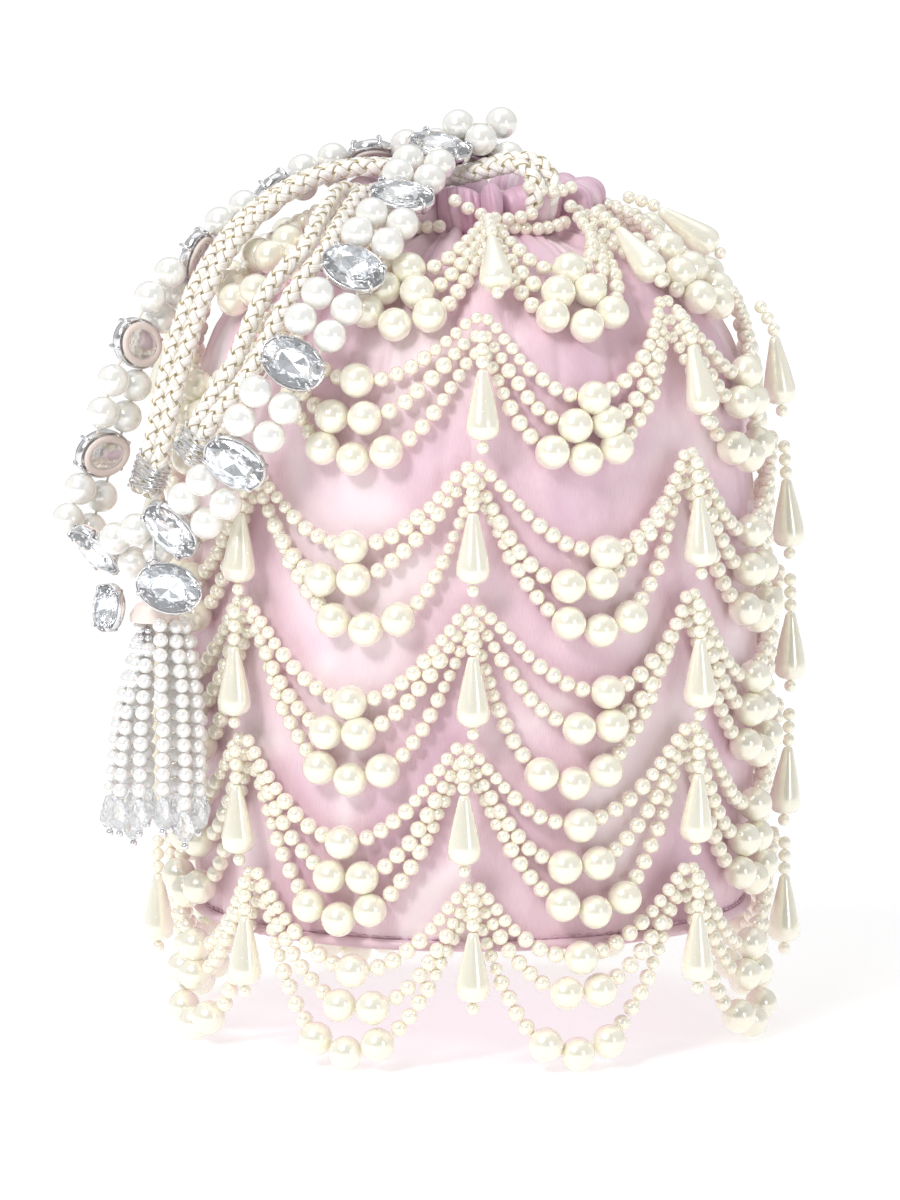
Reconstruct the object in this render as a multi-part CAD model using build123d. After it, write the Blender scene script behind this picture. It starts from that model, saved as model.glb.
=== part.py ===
from build123d import *
import math
import os

# Evening bag: a stiff-based satin drawstring pouch, six tiers of pearl swags
# with hanging drops, and a jewelled wrist loop with a bead tassel.
# Millimetres, +Z up. Origin on the bag's axis at the level of the lowest
# fringe pearls, which is what the bag stands on. Front is -Y, the loop
# hangs over the -X side.

# ---------------------------------------------------------------- dimensions
ZB = 34.0            # underside of the base above the lowest fringe pearls
WALL = [(80.5, 0.0), (84.2, 85.0), (80.0, 158.0)]       # outer wall, R and Z above base
SHOULDER = [(30.0, 202.0), (66.0, 184.0), (80.0, 158.0)]  # gathered top
SATIN_T = 1.2        # satin on its interlining
LINING_T = 0.6
PIPING_R = 1.5
BOARD_T = 2.0
COVER_T = 1.0
NECK_R = 30.0        # outside of the gathered neck
RUFFLE_TOP = 213.5   # above base
N_SWAGS = 8
BIG_D = 10.0         # large pearl
CAD_STRAND_D = 4.2   # string of seed pearls, drawn as one tube
DROP_D, DROP_L = 9.6, 20.0
CHAIN_D = 3.8
TAIL_D = 3.6
DROP_R_LIFT = 9.7    # drop axis above the satin
CORD_D = 5.6         # braided cord
STRAP_PEARL_D = 9.4
STRAP_N = 13         # jewelled repeats round the loop
OVAL = (18.0, 13.0)
HINGE = (12.0, 0.0, 220.5)      # loop pivots on the gathered mouth, above base
TASSEL_P = (-90.5, -58.0, 107.0)
TASSEL_N = 12

# tier: apex distance down the profile is found from the height above base
APEX_Z = {2: 178.0, 3: 138.5, 4: 99.5, 5: 60.5, 6: 21.0}
APEX_S1 = 7.0        # first tier, measured down from the neck edge
SAG = (26.0, 36.0, 50.0)
OFF = (0.0, 4.2, 8.4)
SHARP = (1.2, 1.6, 2.0)
LIFT = (3.2, 1.6, 0.0)


# ------------------------------------------------------------ pouch profile
def circle3(p, q, r):
    ax, ay = p
    bx, by = q
    cx, cy = r
    d = 2 * (ax * (by - cy) + bx * (cy - ay) + cx * (ay - by))
    ux = ((ax * ax + ay * ay) * (by - cy) + (bx * bx + by * by) * (cy - ay) + (cx * cx + cy * cy) * (ay - by)) / d
    uy = ((ax * ax + ay * ay) * (cx - bx) + (bx * bx + by * by) * (ax - cx) + (cx * cx + cy * cy) * (bx - ax)) / d
    return ux, uy, math.hypot(ax - ux, ay - uy)


def profile_table():
    """(s, R, Z above base, nR, nZ) down the outside of the pouch, and on
    straight down from the lowest tier, where the fringe hangs clear."""
    rows = []
    for pts, start, end, n in ((SHOULDER, SHOULDER[0], SHOULDER[2], 120), (WALL, WALL[2], WALL[0], 240)):
        ux, uy, r = circle3(*pts)
        a0 = math.atan2(start[1] - uy, start[0] - ux)
        a1 = math.atan2(end[1] - uy, end[0] - ux)
        for i in range(n + 1):
            a = a0 + (a1 - a0) * i / n
            rows.append((ux + r * math.cos(a), uy + r * math.sin(a), math.cos(a), math.sin(a)))
    kept = [q for q in rows if q[1] > 30.0]
    r_end, z_end = kept[-1][0], kept[-1][1]
    for i in range(1, 90):
        kept.append((r_end, z_end - i * 1.0, 1.0, 0.0))
    out, s = [], 0.0
    for i, q in enumerate(kept):
        if i:
            s += math.hypot(q[0] - kept[i - 1][0], q[1] - kept[i - 1][1])
        out.append((s,) + q)
    return out


PROF = profile_table()


def surf(s):
    s = max(PROF[0][0], min(s, PROF[-1][0] - 1e-6))
    lo, hi = 0, len(PROF) - 1
    while hi - lo > 1:
        m = (lo + hi) // 2
        if PROF[m][0] <= s:
            lo = m
        else:
            hi = m
    a, b = PROF[lo], PROF[hi]
    t = (s - a[0]) / max(b[0] - a[0], 1e-9)
    r, z, nr, nz = (a[k] + (b[k] - a[k]) * t for k in (1, 2, 3, 4))
    n = math.hypot(nr, nz)
    return r, z, nr / n, nz / n


def s_of_z(z):
    return min(PROF, key=lambda q: abs(q[2] - z))[0]


def dist(a, b):
    return math.sqrt(sum((p - q) ** 2 for p, q in zip(a, b)))


def noise(*k):
    v = math.sin(k[0] * 12.9898 + k[1] * 78.233 + k[2] * 37.719) * 43758.5453
    return 2 * (v - math.floor(v)) - 1


# apex shifts: (tier, apex) -> (sideways, down) in mm; swag shapes: (tier, swag)
# -> three (sag, sideways shift of the large pearls). The rest vary a little.
APEX_FIX = {
    (1, 0): (5.0, 5.5), (1, 1): (0.0, 4.0), (2, 0): (3.0, 1.0), (2, 1): (2.0, -2.0), (3, 0): (0.5, -1.0),
    (3, 1): (-1.0, -2.5), (3, 7): (0.0, 2.0), (4, 0): (0.5, 0.0), (4, 1): (-2.0, -1.5),
    (4, 7): (-1.5, 1.0), (5, 0): (-2.0, 0.0), (5, 1): (-2.0, -2.0), (5, 7): (-1.5, 1.5),
    (6, 0): (0.5, 0.5), (6, 1): (-1.0, -0.5), (6, 7): (1.0, 0.5),
}
SWAG_FIX = {
    (1, 0): ((23.0, 3.0), (31.5, 2.0), (41.0, 3.0)),
    (1, 7): ((24.0, 7.0), (32.5, 7.0), (42.0, 8.0)),
    (2, 0): ((23.0, 2.0), (31.0, 1.0), (40.0, -1.0)),
    (2, 7): ((18.0, 0.0), (28.0, -2.0), (39.0, 0.0)),
    (3, 0): ((26.0, 4.5), (35.5, -2.0), (48.0, 2.5)),
    (3, 7): ((22.0, 0.0), (32.0, -4.0), (45.0, 4.5)),
    (4, 0): ((25.5, 4.5), (36.0, 1.0), (51.0, -5.0)),
    (4, 7): ((27.0, 0.0), (36.5, -2.5), (49.0, 0.0)),
    (5, 0): ((24.5, -3.0), (37.0, -2.5), (50.0, 1.5)),
    (5, 7): ((28.0, -3.0), (39.0, -2.0), (50.5, -4.0)),
    (6, 0): ((22.5, -2.5), (33.0, -2.0), (50.0, -3.5)),
    (6, 7): ((26.0, 0.0), (37.0, 1.0), (50.0, -2.0)),
}


def apex(tier, j):
    """Sideways shift (mm) and distance down the profile of one apex."""
    j %= N_SWAGS
    base = APEX_S1 if tier == 1 else s_of_z(APEX_Z[tier])
    if (tier, j) in APEX_FIX:
        side, down = APEX_FIX[(tier, j)]
    elif tier == 1:
        side, down = 1.0 * noise(tier, j, 1), 0.6 * noise(tier, j, 2)
    else:
        side, down = 1.6 * noise(tier, j, 1), 0.6 * noise(tier, j, 2)
    return side, base + down


NO_DROP = ((1, 6), (1, 7), (2, 7))


def swag_shape(tier, j, k):
    j %= N_SWAGS
    if (tier, j) in SWAG_FIX:
        sag, shift = SWAG_FIX[(tier, j)][k]
    else:
        sag = SAG[k] * (0.8 if tier == 1 else 0.86 if tier == 2 else 1.0)
        sag += 2.0 * noise(tier + 10, j, k + 3)
        shift = 3.0 * noise(tier + 20, j, k + 5)
    return sag, shift


def swag_point(tier, j, k, u, lift=None):
    """Centre of a string of the given lift at u in [-1, 1] between two apexes."""
    side_l, s_l = apex(tier, j)
    side_r, s_r = apex(tier, j + 1)
    sag, shift = swag_shape(tier, j, k)
    t = 0.5 * (1 + u)
    s_top = s_l + (s_r - s_l) * t
    r_ref = surf(s_top + 0.7 * sag)[0]
    half = r_ref * math.pi / N_SWAGS
    if tier == 6 and k == 2:
        # the lowest pearls of every fringe swag come down to the same level
        target = ZB - 0.5 * BIG_D
        s_base = s_of_z(30.5)
        sag = (s_base + (surf(s_base)[1] + target)) - (s_top + OFF[k]) + OFF[k]
    reach = sag - OFF[k]
    d = (1 - abs(u)) * half
    rnd = 4.0
    dd = (math.sqrt(d * d + rnd * rnd) - rnd) / (math.sqrt(half * half + rnd * rnd) - rnd)
    v = 1 - dd
    c = SHARP[k]
    shape = (math.cosh(c * v) - 1) / (math.cosh(c) - 1)
    s = s_top + OFF[k] + reach * (1 - shape)
    r, z, nr, nz = surf(s)
    lift_k = LIFT[k] * math.exp(-((d / 15.0) ** 2))
    h = 0.5 * CAD_STRAND_D + 1.0 + lift_k if lift is None else lift
    bulge = math.cos(0.5 * math.pi * abs(u)) ** 0.8 if abs(u) < 1 else 0.0
    side = side_l + (side_r - side_l) * t
    phi = (j + t) * 2 * math.pi / N_SWAGS + (side * (1 - bulge) + shift * bulge) / max(r, 40.0)
    rr, zz = r + h * nr, z + h * nz
    return (rr * math.sin(phi), -rr * math.cos(phi), zz + ZB)


def big_pearls(tier, j, k):
    """Centres of the 1, 2 or 3 large pearls in the middle of a string."""
    h = 0.5 * BIG_D + 0.3
    n = k + 1

    def at(u):
        return swag_point(tier, j, k, u, lift=h)

    def step(u, way, gap):
        a, x = at(u), u
        while dist(at(x), a) < gap and abs(x) < 1:
            x += way * 0.002
        return x

    gap = BIG_D + 0.12
    if n == 1:
        us = [0.0]
    elif n == 2:
        e = step(0.0, 1, gap / 2)
        us = [-e, step(-e, 1, gap)]
    else:
        us = [step(0.0, -1, gap), 0.0, step(0.0, 1, gap)]
    return us, [at(u) for u in us]


def half_string(tier, j, k, way, u_big, centre):
    """Route of the small-pearl string from its large pearl up to an apex."""
    path, u = [], u_big
    start = None
    while abs(u) < 1:
        u += way * 0.004
        if abs(u) > 0.9975:
            u = way * 0.9975
        p = swag_point(tier, j, k, u)
        if dist(p, centre) >= 0.5 * BIG_D + 0.12:
            if start is None:
                start = u
            path.append(p)
        if abs(u) >= 0.9975:
            break
    # six stations at even distances
    run = [0.0]
    for a, b in zip(path, path[1:]):
        run.append(run[-1] + dist(a, b))
    out, n = [], 6
    for i in range(n):
        want = run[-1] * (0, 0.22, 0.44, 0.64, 0.83, 1.0)[i]
        m = min(range(len(run)), key=lambda q: abs(run[q] - want))
        out.append(path[m])
    return out


def tube(points, d, name=""):
    """Round bar on straight runs joined by arcs, and its path."""
    radii = []
    for a, b, c in zip(points, points[1:], points[2:]):
        v1, v2 = Vector(*b) - Vector(*a), Vector(*c) - Vector(*b)
        turn = math.radians(v1.get_angle(v2))
        r = 0.45 * min(v1.length, v2.length) / math.tan(max(turn, 1e-4) / 2)
        radii.append(min(r, 2500.0))
    path = FilletPolyline(*[Vector(*p) for p in points], radius=radii)
    section = Plane(origin=path @ 0, z_dir=path % 0) * Circle(d / 2)
    solid = sweep(section, path=path)
    solid = solid.solids()[0] if hasattr(solid, "solids") else solid
    if name:
        full = math.pi * d * d / 4 * path.length
        print(name, "length", round(path.length, 1), "radii", [round(r, 1) for r in radii],
              "volume ratio", round(solid.volume / full, 4))
    return solid


def ball(p, d):
    return Pos(*p) * Sphere(d / 2)


def save(shapes, node):
    shapes = shapes if isinstance(shapes, list) else [shapes]
    solids = []
    for s in shapes:
        solids += list(s.solids())
    export_step(Compound(children=solids) if len(solids) > 1 else solids[0], f"parts/{node}.step")


os.makedirs("parts", exist_ok=True)


# ------------------------------------------------------------ pouch and base
def shell_section(inset, thick, z_low):
    """Wall section between two offsets of the outer profile, on the XZ plane."""
    def arcs(off):
        ux, uy, r = circle3(*SHOULDER)
        vx, vy, q = circle3(*WALL)
        a0 = math.atan2(SHOULDER[0][1] - uy, SHOULDER[0][0] - ux)
        a1 = math.atan2(SHOULDER[2][1] - uy, SHOULDER[2][0] - ux)
        b0 = math.atan2(WALL[2][1] - vy, WALL[2][0] - vx)
        b1 = math.atan2(z_low - vy, math.sqrt(max(q * q - (z_low - vy) ** 2, 0)))
        rs, rw = r - off, q - off

        def on(cx, cy, rad, a):
            return (cx + rad * math.cos(a), cy + rad * math.sin(a) + ZB)
        sh = [on(ux, uy, rs, a0 + (a1 - a0) * t) for t in (0, 0.5)]
        join_a = on(ux, uy, rs, a1)
        join_b = on(vx, vy, rw, b0)
        join = ((join_a[0] + join_b[0]) / 2, (join_a[1] + join_b[1]) / 2)
        wl = [on(vx, vy, rw, b0 + (b1 - b0) * t) for t in (0.5, 1)]
        return sh + [join] + wl
    o, i = arcs(inset), arcs(inset + thick)

    def v(p):
        return (p[0], 0, p[1])
    edges = [
        ThreePointArc(v(o[0]), v(o[1]), v(o[2])),
        ThreePointArc(v(o[2]), v(o[3]), v(o[4])),
        Line(v(o[4]), v(i[4])),
        ThreePointArc(v(i[4]), v(i[3]), v(i[2])),
        ThreePointArc(v(i[2]), v(i[1]), v(i[0])),
        Line(v(i[0]), v(o[0])),
    ]
    return make_face(Wire(edges))


seam = 0.06
outer = shell_section(0.0, SATIN_T, 0.2)
panel = revolve(outer, Axis.Z, 180)
panel_solid = panel.solids()[0]
c = panel_solid.center()
front = panel_solid if c.Y < 0 else panel_solid.rotate(Axis.Z, 180)
back = front.rotate(Axis.Z, 180)
front = Pos(0, -seam, 0) * front
back = Pos(0, seam, 0) * back
save(front, "outer_front_panel")
save(back, "outer_back_panel")

lining = revolve(shell_section(SATIN_T + 0.1, LINING_T, COVER_T + BOARD_T + 0.9), Axis.Z, 360)
save(lining, "body_lining")

base_r = WALL[0][0] - SATIN_T - 0.15
cover = Pos(0, 0, ZB) * Cylinder(base_r, COVER_T, align=(Align.CENTER, Align.CENTER, Align.MIN))
save(cover, "base_cover")
board = Pos(0, 0, ZB + COVER_T + 0.02) * Cylinder(base_r - 1.2, BOARD_T, align=(Align.CENTER, Align.CENTER, Align.MIN))
save(board, "base_board")
blining = Pos(0, 0, ZB + COVER_T + BOARD_T + 0.04) * Cylinder(base_r - 2.6, LINING_T, align=(Align.CENTER, Align.CENTER, Align.MIN))
save(blining, "base_lining")
piping = Pos(0, 0, ZB + PIPING_R + 0.2) * Torus(WALL[0][0] + PIPING_R * 0.55, PIPING_R)
cut = Pos(0, 0, ZB - 1) * Cylinder(WALL[0][0] + 0.45, 10, align=(Align.CENTER, Align.CENTER, Align.MIN))
piping = piping - cut
save(piping, "base_piping")

# casing sewn round the neck, with the two drawstrings lying in it
casing_r, casing_o, casing_i = 26.6, 4.3, 3.5
zc = ZB + 205.9
ring = Pos(0, 0, zc) * (Torus(casing_r, casing_o) - Torus(casing_r, casing_i))
save(ring, "drawstring_channel")
string = [Pos(0, 0, zc + dz) * Torus(casing_r, 1.5) for dz in (-1.65, 1.65)]
save(string, "neck_drawstrings")

# gathered frill standing on the casing
z0, z1 = 209.9, RUFFLE_TOP
frill = make_face(Wire([
    Line((24.0, 0, ZB + z0 + 0.55), (25.6, 0, ZB + z0 + 0.55)),
    Line((25.6, 0, ZB + z0 + 0.55), (35.0, 0, ZB + z1)),
    Line((35.0, 0, ZB + z1), (33.2, 0, ZB + z1)),
    Line((33.2, 0, ZB + z1), (24.0, 0, ZB + z0 + 0.55)),
]))
save(revolve(frill, Axis.Z, 360), "mouth_frill")

# braided cords where they leave the casing, in the plane of the neck
NECK_RUN_A = [(20.6, -24.6, 206.0), (24.4, -26.6, 211.6), (22.4, -23.8, 218.0), (18.0, -20.2, 221.0), (13.7, -18.2, 220.9)]
NECK_RUN_B = [(15.6, -28.0, 206.0), (19.4, -31.4, 211.0), (18.0, -29.4, 217.2), (13.7, -26.2, 220.0)]
FRONT_RUN_A = [(-26.0, -14.5, 206.6), (-32.6, -18.4, 212.2), (-38.8, -25.0, 212.8), (-41.2, -33.4, 208.8)]
FRONT_RUN_B = [(-21.8, -19.6, 206.6), (-27.2, -25.8, 212.0), (-31.6, -32.2, 212.4), (-34.6, -39.8, 208.4)]


def clear_of(p, route, gap):
    for a, b in zip(route, route[1:]):
        for q in range(11):
            c = tuple(u + (v - u) * q / 10 for u, v in zip(a, b))
            if dist(p, c) < gap:
                return False
    return True


# short pearl strings tacked to the frill's outside
TRIM = ((21.0, 7), (44.0, 5), (150.0, 7), (-140.0, 7), (90.0, 7))
trim = []
for a_mid, n in TRIM:
    for i in range(n):
        a = math.radians(a_mid + (i - n / 2) * 7.6)
        r = 37.6 + 0.3 * math.sin(i * 1.7 + a_mid)
        z = 211.6 + 0.5 * math.cos(i * 2.1 + a_mid)
        p = (r * math.sin(a), -r * math.cos(a), z)
        if all(clear_of(p, q, 5.3) for q in (NECK_RUN_A, NECK_RUN_B, FRONT_RUN_A, FRONT_RUN_B)) \
                and all(dist(p, q) > 3.95 for q in trim):
            trim.append(p)
save([ball((x, y, z + ZB), 3.9) for x, y, z in trim], "mouth_pearl_trim")


# -------------------------------------------------------------- pearl tiers
def drop_solids(tier, j):
    """A drop on its short chain: seed pearls, the long drop and a tail bead,
    hanging down the pouch from an apex."""
    side, s_a = apex(tier, j)
    phi0 = j * 2 * math.pi / N_SWAGS
    steps = (0.0, 3.85, 7.7, 19.7, 31.6)
    if tier == 6:
        r, z, nr, nz = surf(s_a + 3.2)
        rz = [(r + DROP_R_LIFT, z - d) for d in steps]
        t = (0.0, -1.0)
    else:
        def hung(s):
            r, z, nr, nz = surf(s)
            return (r + DROP_R_LIFT * nr, z + DROP_R_LIFT * nz), (nz, -nr)
        c0, t = hung(s_a + 3.2 + steps[3])
        top = (c0[0] - t[0] * 12.0, c0[1] - t[1] * 12.0)
        rz, q, s_q = [top], top, s_a + 3.2 + steps[2]
        for _ in range(2):
            s_q -= 3.85
            back = hung(s_q)[1]
            q = (q[0] - back[0] * 3.85, q[1] - back[1] * 3.85)
            rz.insert(0, q)
        rz += [c0, (c0[0] + t[0] * 11.9, c0[1] + t[1] * 11.9)]
    dirs = [t] * 5
    phi = phi0 + side / max(rz[0][0], 40.0)

    def place(q):
        return (q[0] * math.sin(phi), -q[0] * math.cos(phi), q[1] + ZB)
    out = [ball(place(q), CHAIN_D) for q in rz[:3]]
    # long drop: narrow at the top, full near the bottom
    L, R = DROP_L, DROP_D / 2
    prof = [(0, 0), (1.3, 0), (1.9, -1.2), (2.9, -5.5), (3.9, -9.5), (4.6, -13.0), (R, -15.2),
            (4.45, -17.4), (3.2, -19.2), (1.6, -19.9), (0, -L)]
    sp = Spline([(x, 0, z + L / 2) for x, z in prof[1:-1]])
    f = make_face(Wire([Line((0, 0, L / 2), (prof[1][0], 0, L / 2)), sp,
                        Line((prof[-2][0], 0, prof[-2][1] + L / 2), (0, 0, prof[-2][1] + L / 2)),
                        Line((0, 0, prof[-2][1] + L / 2), (0, 0, L / 2))]))
    body = revolve(f, Axis.Z, 360)
    down = Vector(dirs[3][0] * math.sin(phi), -dirs[3][0] * math.cos(phi), dirs[3][1])
    pl = Plane(origin=place(rz[3]), x_dir=Vector(math.cos(phi), math.sin(phi), 0), z_dir=-down)
    out.append(pl.location * body)
    out.append(ball(place(rz[4]), TAIL_D))
    return out, place(rz[0]), phi


tubes = 0
for tier in range(1, 7):
    strings, pearls, drops = [], [], []
    for j in range(N_SWAGS):
        for k in range(3):
            us, cs = big_pearls(tier, j, k)
            pearls += [ball(p, BIG_D) for p in cs]
            for way, n in ((-1, 0), (1, -1)):
                pts = half_string(tier, j, k, way, us[n], cs[n])
                strings.append(tube(pts, CAD_STRAND_D))
                tubes += 1
        if (tier, j) in NO_DROP:
            continue        # the wrist cords lie here in place of a drop
        sol, pivot, phi = drop_solids(tier, j)
        if tier == 6:
            save(sol, f"fringe_drop_{j + 1}")
            print("fringe_drop", j + 1, "pivot", [round(v / 1000, 5) for v in pivot], "phi", round(phi, 5))
        else:
            drops += sol
    save(strings, f"tier{tier}_strings")
    save(pearls, f"tier{tier}_large_pearls")
    if drops:
        save(drops, f"tier{tier}_drops")
print("string tubes", tubes)

# ------------------------------------------------------------- wrist loop
LOOP = [
    ((9.0, -3.0, 223.0), (0.75, -0.1, 0.65)),
    ((-9.0, -18.0, 224.5), (-0.05, -0.62, 0.78)),
    ((-23.6, -57.0, 207.0), (0.0, -0.72, 0.69)),
    ((-39.1, -78.0, 185.0), (0.05, -0.86, 0.50)),
    ((-55.2, -86.5, 160.0), (0.10, -0.95, 0.28)),
    ((-72.0, -76.5, 131.7), (-0.10, -0.97, 0.05)),
    ((-94.0, -54.0, 113.0), (-0.40, -0.80, -0.50)),
    ((-112.0, -36.0, 112.0), (-0.80, 0.10, -0.60)),
    ((-108.5, -31.0, 130.0), (-0.75, 0.65, -0.05)),
    ((-101.0, -33.0, 154.0), (-0.70, 0.68, 0.20)),
    ((-92.5, -28.0, 177.0), (-0.62, 0.66, 0.42)),
    ((-74.0, -8.0, 197.5), (-0.50, 0.60, 0.62)),
    ((-51.0, 11.0, 213.0), (-0.30, 0.50, 0.81)),
    ((-24.0, 13.0, 221.0), (0.0, 0.40, 0.92)),
]


def catmull(pts, per=60):
    out, n = [], len(pts)
    for i in range(n):
        p0, p1, p2, p3 = (pts[(i + q) % n] for q in (-1, 0, 1, 2))
        for s in range(per):
            t = s / per
            out.append(tuple(
                0.5 * (2 * b + (-a + c) * t + (2 * a - 5 * b + 4 * c - d) * t * t + (-a + 3 * b - 3 * c + d) * t ** 3)
                for a, b, c, d in zip(p0, p1, p2, p3)))
    return out


line = catmull([p for p, n in LOOP])
norm = catmull([n for p, n in LOOP])
acc = [0.0]
for i in range(len(line)):
    acc.append(acc[-1] + dist(line[i], line[(i + 1) % len(line)]))
LOOP_L = acc[-1]
pitch = LOOP_L / STRAP_N
print("loop length", round(LOOP_L, 1), "pitch", round(pitch, 2))


def loop_frame(s):
    s %= LOOP_L
    i = max(q for q in range(len(line)) if acc[q] <= s)
    j = (i + 1) % len(line)
    t = (s - acc[i]) / (acc[i + 1] - acc[i])
    p = Vector(*[a + (b - a) * t for a, b in zip(line[i], line[j])])
    a, b = line[(i - 2) % len(line)], line[(j + 2) % len(line)]
    tan = (Vector(*b) - Vector(*a)).normalized()
    n = Vector(*[x + (y - x) * t for x, y in zip(norm[i], norm[j])])
    n = (n - tan * n.dot(tan)).normalized()
    return Vector(p.X, p.Y, p.Z + ZB), tan, n, tan.cross(n)


S0 = acc[60]        # first crystal sits at the loop's front top
pearls, crystals, settings, threads = [], [], [], []


def oval_parts(p, n, across, scale=1.0):
    """A faceted oval stone in its open-backed cup."""
    a, b = OVAL[0] / 2 * scale, OVAL[1] / 2 * scale
    pl = Plane(origin=p, x_dir=across, z_dir=n)
    cup = extrude(Ellipse(a + 0.45, b + 0.45), amount=3.6) - (Pos(0, 0, 0.55) * extrude(Ellipse(a + 0.1, b + 0.1), amount=4))
    stone_low = loft([Pos(0, 0, 0.75) * Ellipse(a * 0.62, b * 0.62), Pos(0, 0, 3.1) * Ellipse(a, b)])
    stone_top = loft([Pos(0, 0, 3.1) * Ellipse(a, b), Pos(0, 0, 5.6) * Ellipse(a * 0.6, b * 0.6)])
    stone = stone_low + stone_top
    down = Pos(0, 0, -2.0)
    return pl.location * (down * cup), pl.location * (down * stone)


prev = {}
for i in range(STRAP_N):
    s = S0 + i * pitch
    p, t, n, b = loop_frame(s)
    cup, stone = oval_parts(p, n, b)
    settings.append(cup)
    crystals.append(stone)
    for row in (-1, 1):
        for m in (-1, 1):
            q, t2, n2, b2 = loop_frame(s + pitch / 2 + m * (STRAP_PEARL_D / 2 + 0.02))
            c = q + b2 * (row * (STRAP_PEARL_D / 2 + 0.05))
            pearls.append(((i, row, m), c))
# two stones at the foot of the loop, over the tassel's head
END_STONES = [((-85.6, -72.5, 103.0), (0.05, -0.93, 0.25), (0.93, 0.10, -0.35), 1.0),
              ((-103.5, -61.5, 96.0), (-0.62, -0.72, 0.05), (0.1, -0.1, 0.98), 0.72)]

# braided cords over the gathered top and along the loop's inside
FRONT_A = [(-42.2, -37.0, 207.0), (-44.4, -44.6, 203.8), (-46.5, -52.0, 198.0), (-53.0, -56.5, 192.6), (-59.0, -58.5, 185.0),
           (-63.2, -61.0, 176.0), (-66.8, -64.2, 166.8), (-72.4, -63.6, 158.0), (-78.0, -61.6, 149.0), (-82.4, -60.4, 139.6)]
FRONT_B = [(-35.8, -43.2, 206.6), (-38.2, -50.6, 203.2), (-41.0, -58.0, 197.4), (-47.4, -63.0, 190.6), (-53.0, -65.4, 182.4),
           (-57.4, -67.6, 173.4), (-62.0, -70.4, 164.0), (-69.6, -69.6, 155.4), (-75.6, -67.0, 146.4), (-79.4, -65.4, 137.2)]
REAR_A = [(10.3, -16.6, 220.5), (4.6, -13.6, 219.0), (-4.0, -9.0, 215.2), (-15.0, -4.4, 217.0), (-28.0, -1.6, 218.6), (-41.0, -2.6, 217.2), (-54.0, -7.2, 212.4),
          (-67.5, -15.0, 203.0), (-78.6, -27.2, 188.0), (-85.4, -35.0, 170.0), (-89.0, -39.2, 154.0), (-92.0, -39.8, 139.0), (-96.0, -39.2, 126.5)]
REAR_B = [(10.3, -24.0, 219.9), (3.6, -20.0, 217.8), (-6.4, -14.6, 215.0), (-17.0, -10.2, 217.0), (-29.0, -7.6, 218.4), (-41.0, -8.6, 217.0), (-52.4, -13.0, 212.0),
          (-65.2, -20.6, 202.2), (-75.4, -32.4, 187.0), (-81.6, -40.2, 168.4), (-85.6, -44.4, 153.0), (-88.4, -45.4, 138.0), (-92.0, -44.6, 125.6)]


def rim_points(p, n, across, scale):
    """Points on the outside of a stone's cup and crown."""
    a, b = OVAL[0] / 2 * scale + 0.5, OVAL[1] / 2 * scale + 0.5
    y = n.cross(across)
    out = []
    for q in range(28):
        g = 2 * math.pi * q / 28
        for z, k in ((-2.0, 1.0), (-0.2, 1.0), (1.6, 1.0), (2.6, 0.86), (3.6, 0.6)):
            c = p + across * (a * k * math.cos(g)) + y * (b * k * math.sin(g)) + n * z
            out.append((c.X, c.Y, c.Z))
    return out


def beads_on(route, step=1.2):
    out = []
    for a, b in zip(route, route[1:]):
        m = max(1, int(dist(a, b) / step))
        out += [tuple(u + (v - u) * q / m for u, v in zip(a, b)) for q in range(m)]
    return [(x, y, z + ZB) for x, y, z in out + [route[-1]]]


# what the loop's pearls keep clear of: (points, distance)
R_P = STRAP_PEARL_D / 2
blocks = []
for i in range(STRAP_N):
    p, t, n, b = loop_frame(S0 + i * pitch)
    blocks.append((rim_points(p, n, b, 1.0), R_P + 0.12))
for p, n, across, sc in END_STONES:
    n = Vector(*n).normalized()
    x = Vector(*across)
    x = (x - n * x.dot(n)).normalized()
    blocks.append((rim_points(Vector(p[0], p[1], p[2] + ZB), n, x, sc), R_P + 0.12))
for route in (FRONT_A, FRONT_B, REAR_A, REAR_B):
    blocks.append((beads_on(route), R_P + CORD_D / 2 + 0.15))
for route in (NECK_RUN_A, NECK_RUN_B, FRONT_RUN_A, FRONT_RUN_B):
    blocks.append((beads_on(route), R_P + CORD_D / 2 + 0.6))
blocks.append(([(TASSEL_P[0], TASSEL_P[1], TASSEL_P[2] + ZB - 3.2)], R_P + 4.6))
blocks.append(([(x, y, z + ZB) for x, y, z in trim], R_P + 2.5))
for tier in (1, 2):
    near = []
    for j in (0, 4, 5, 6, 7):
        for k in range(3):
            near += big_pearls(tier, j, k)[1]
    blocks.append((near, R_P + 5.6))


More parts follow.
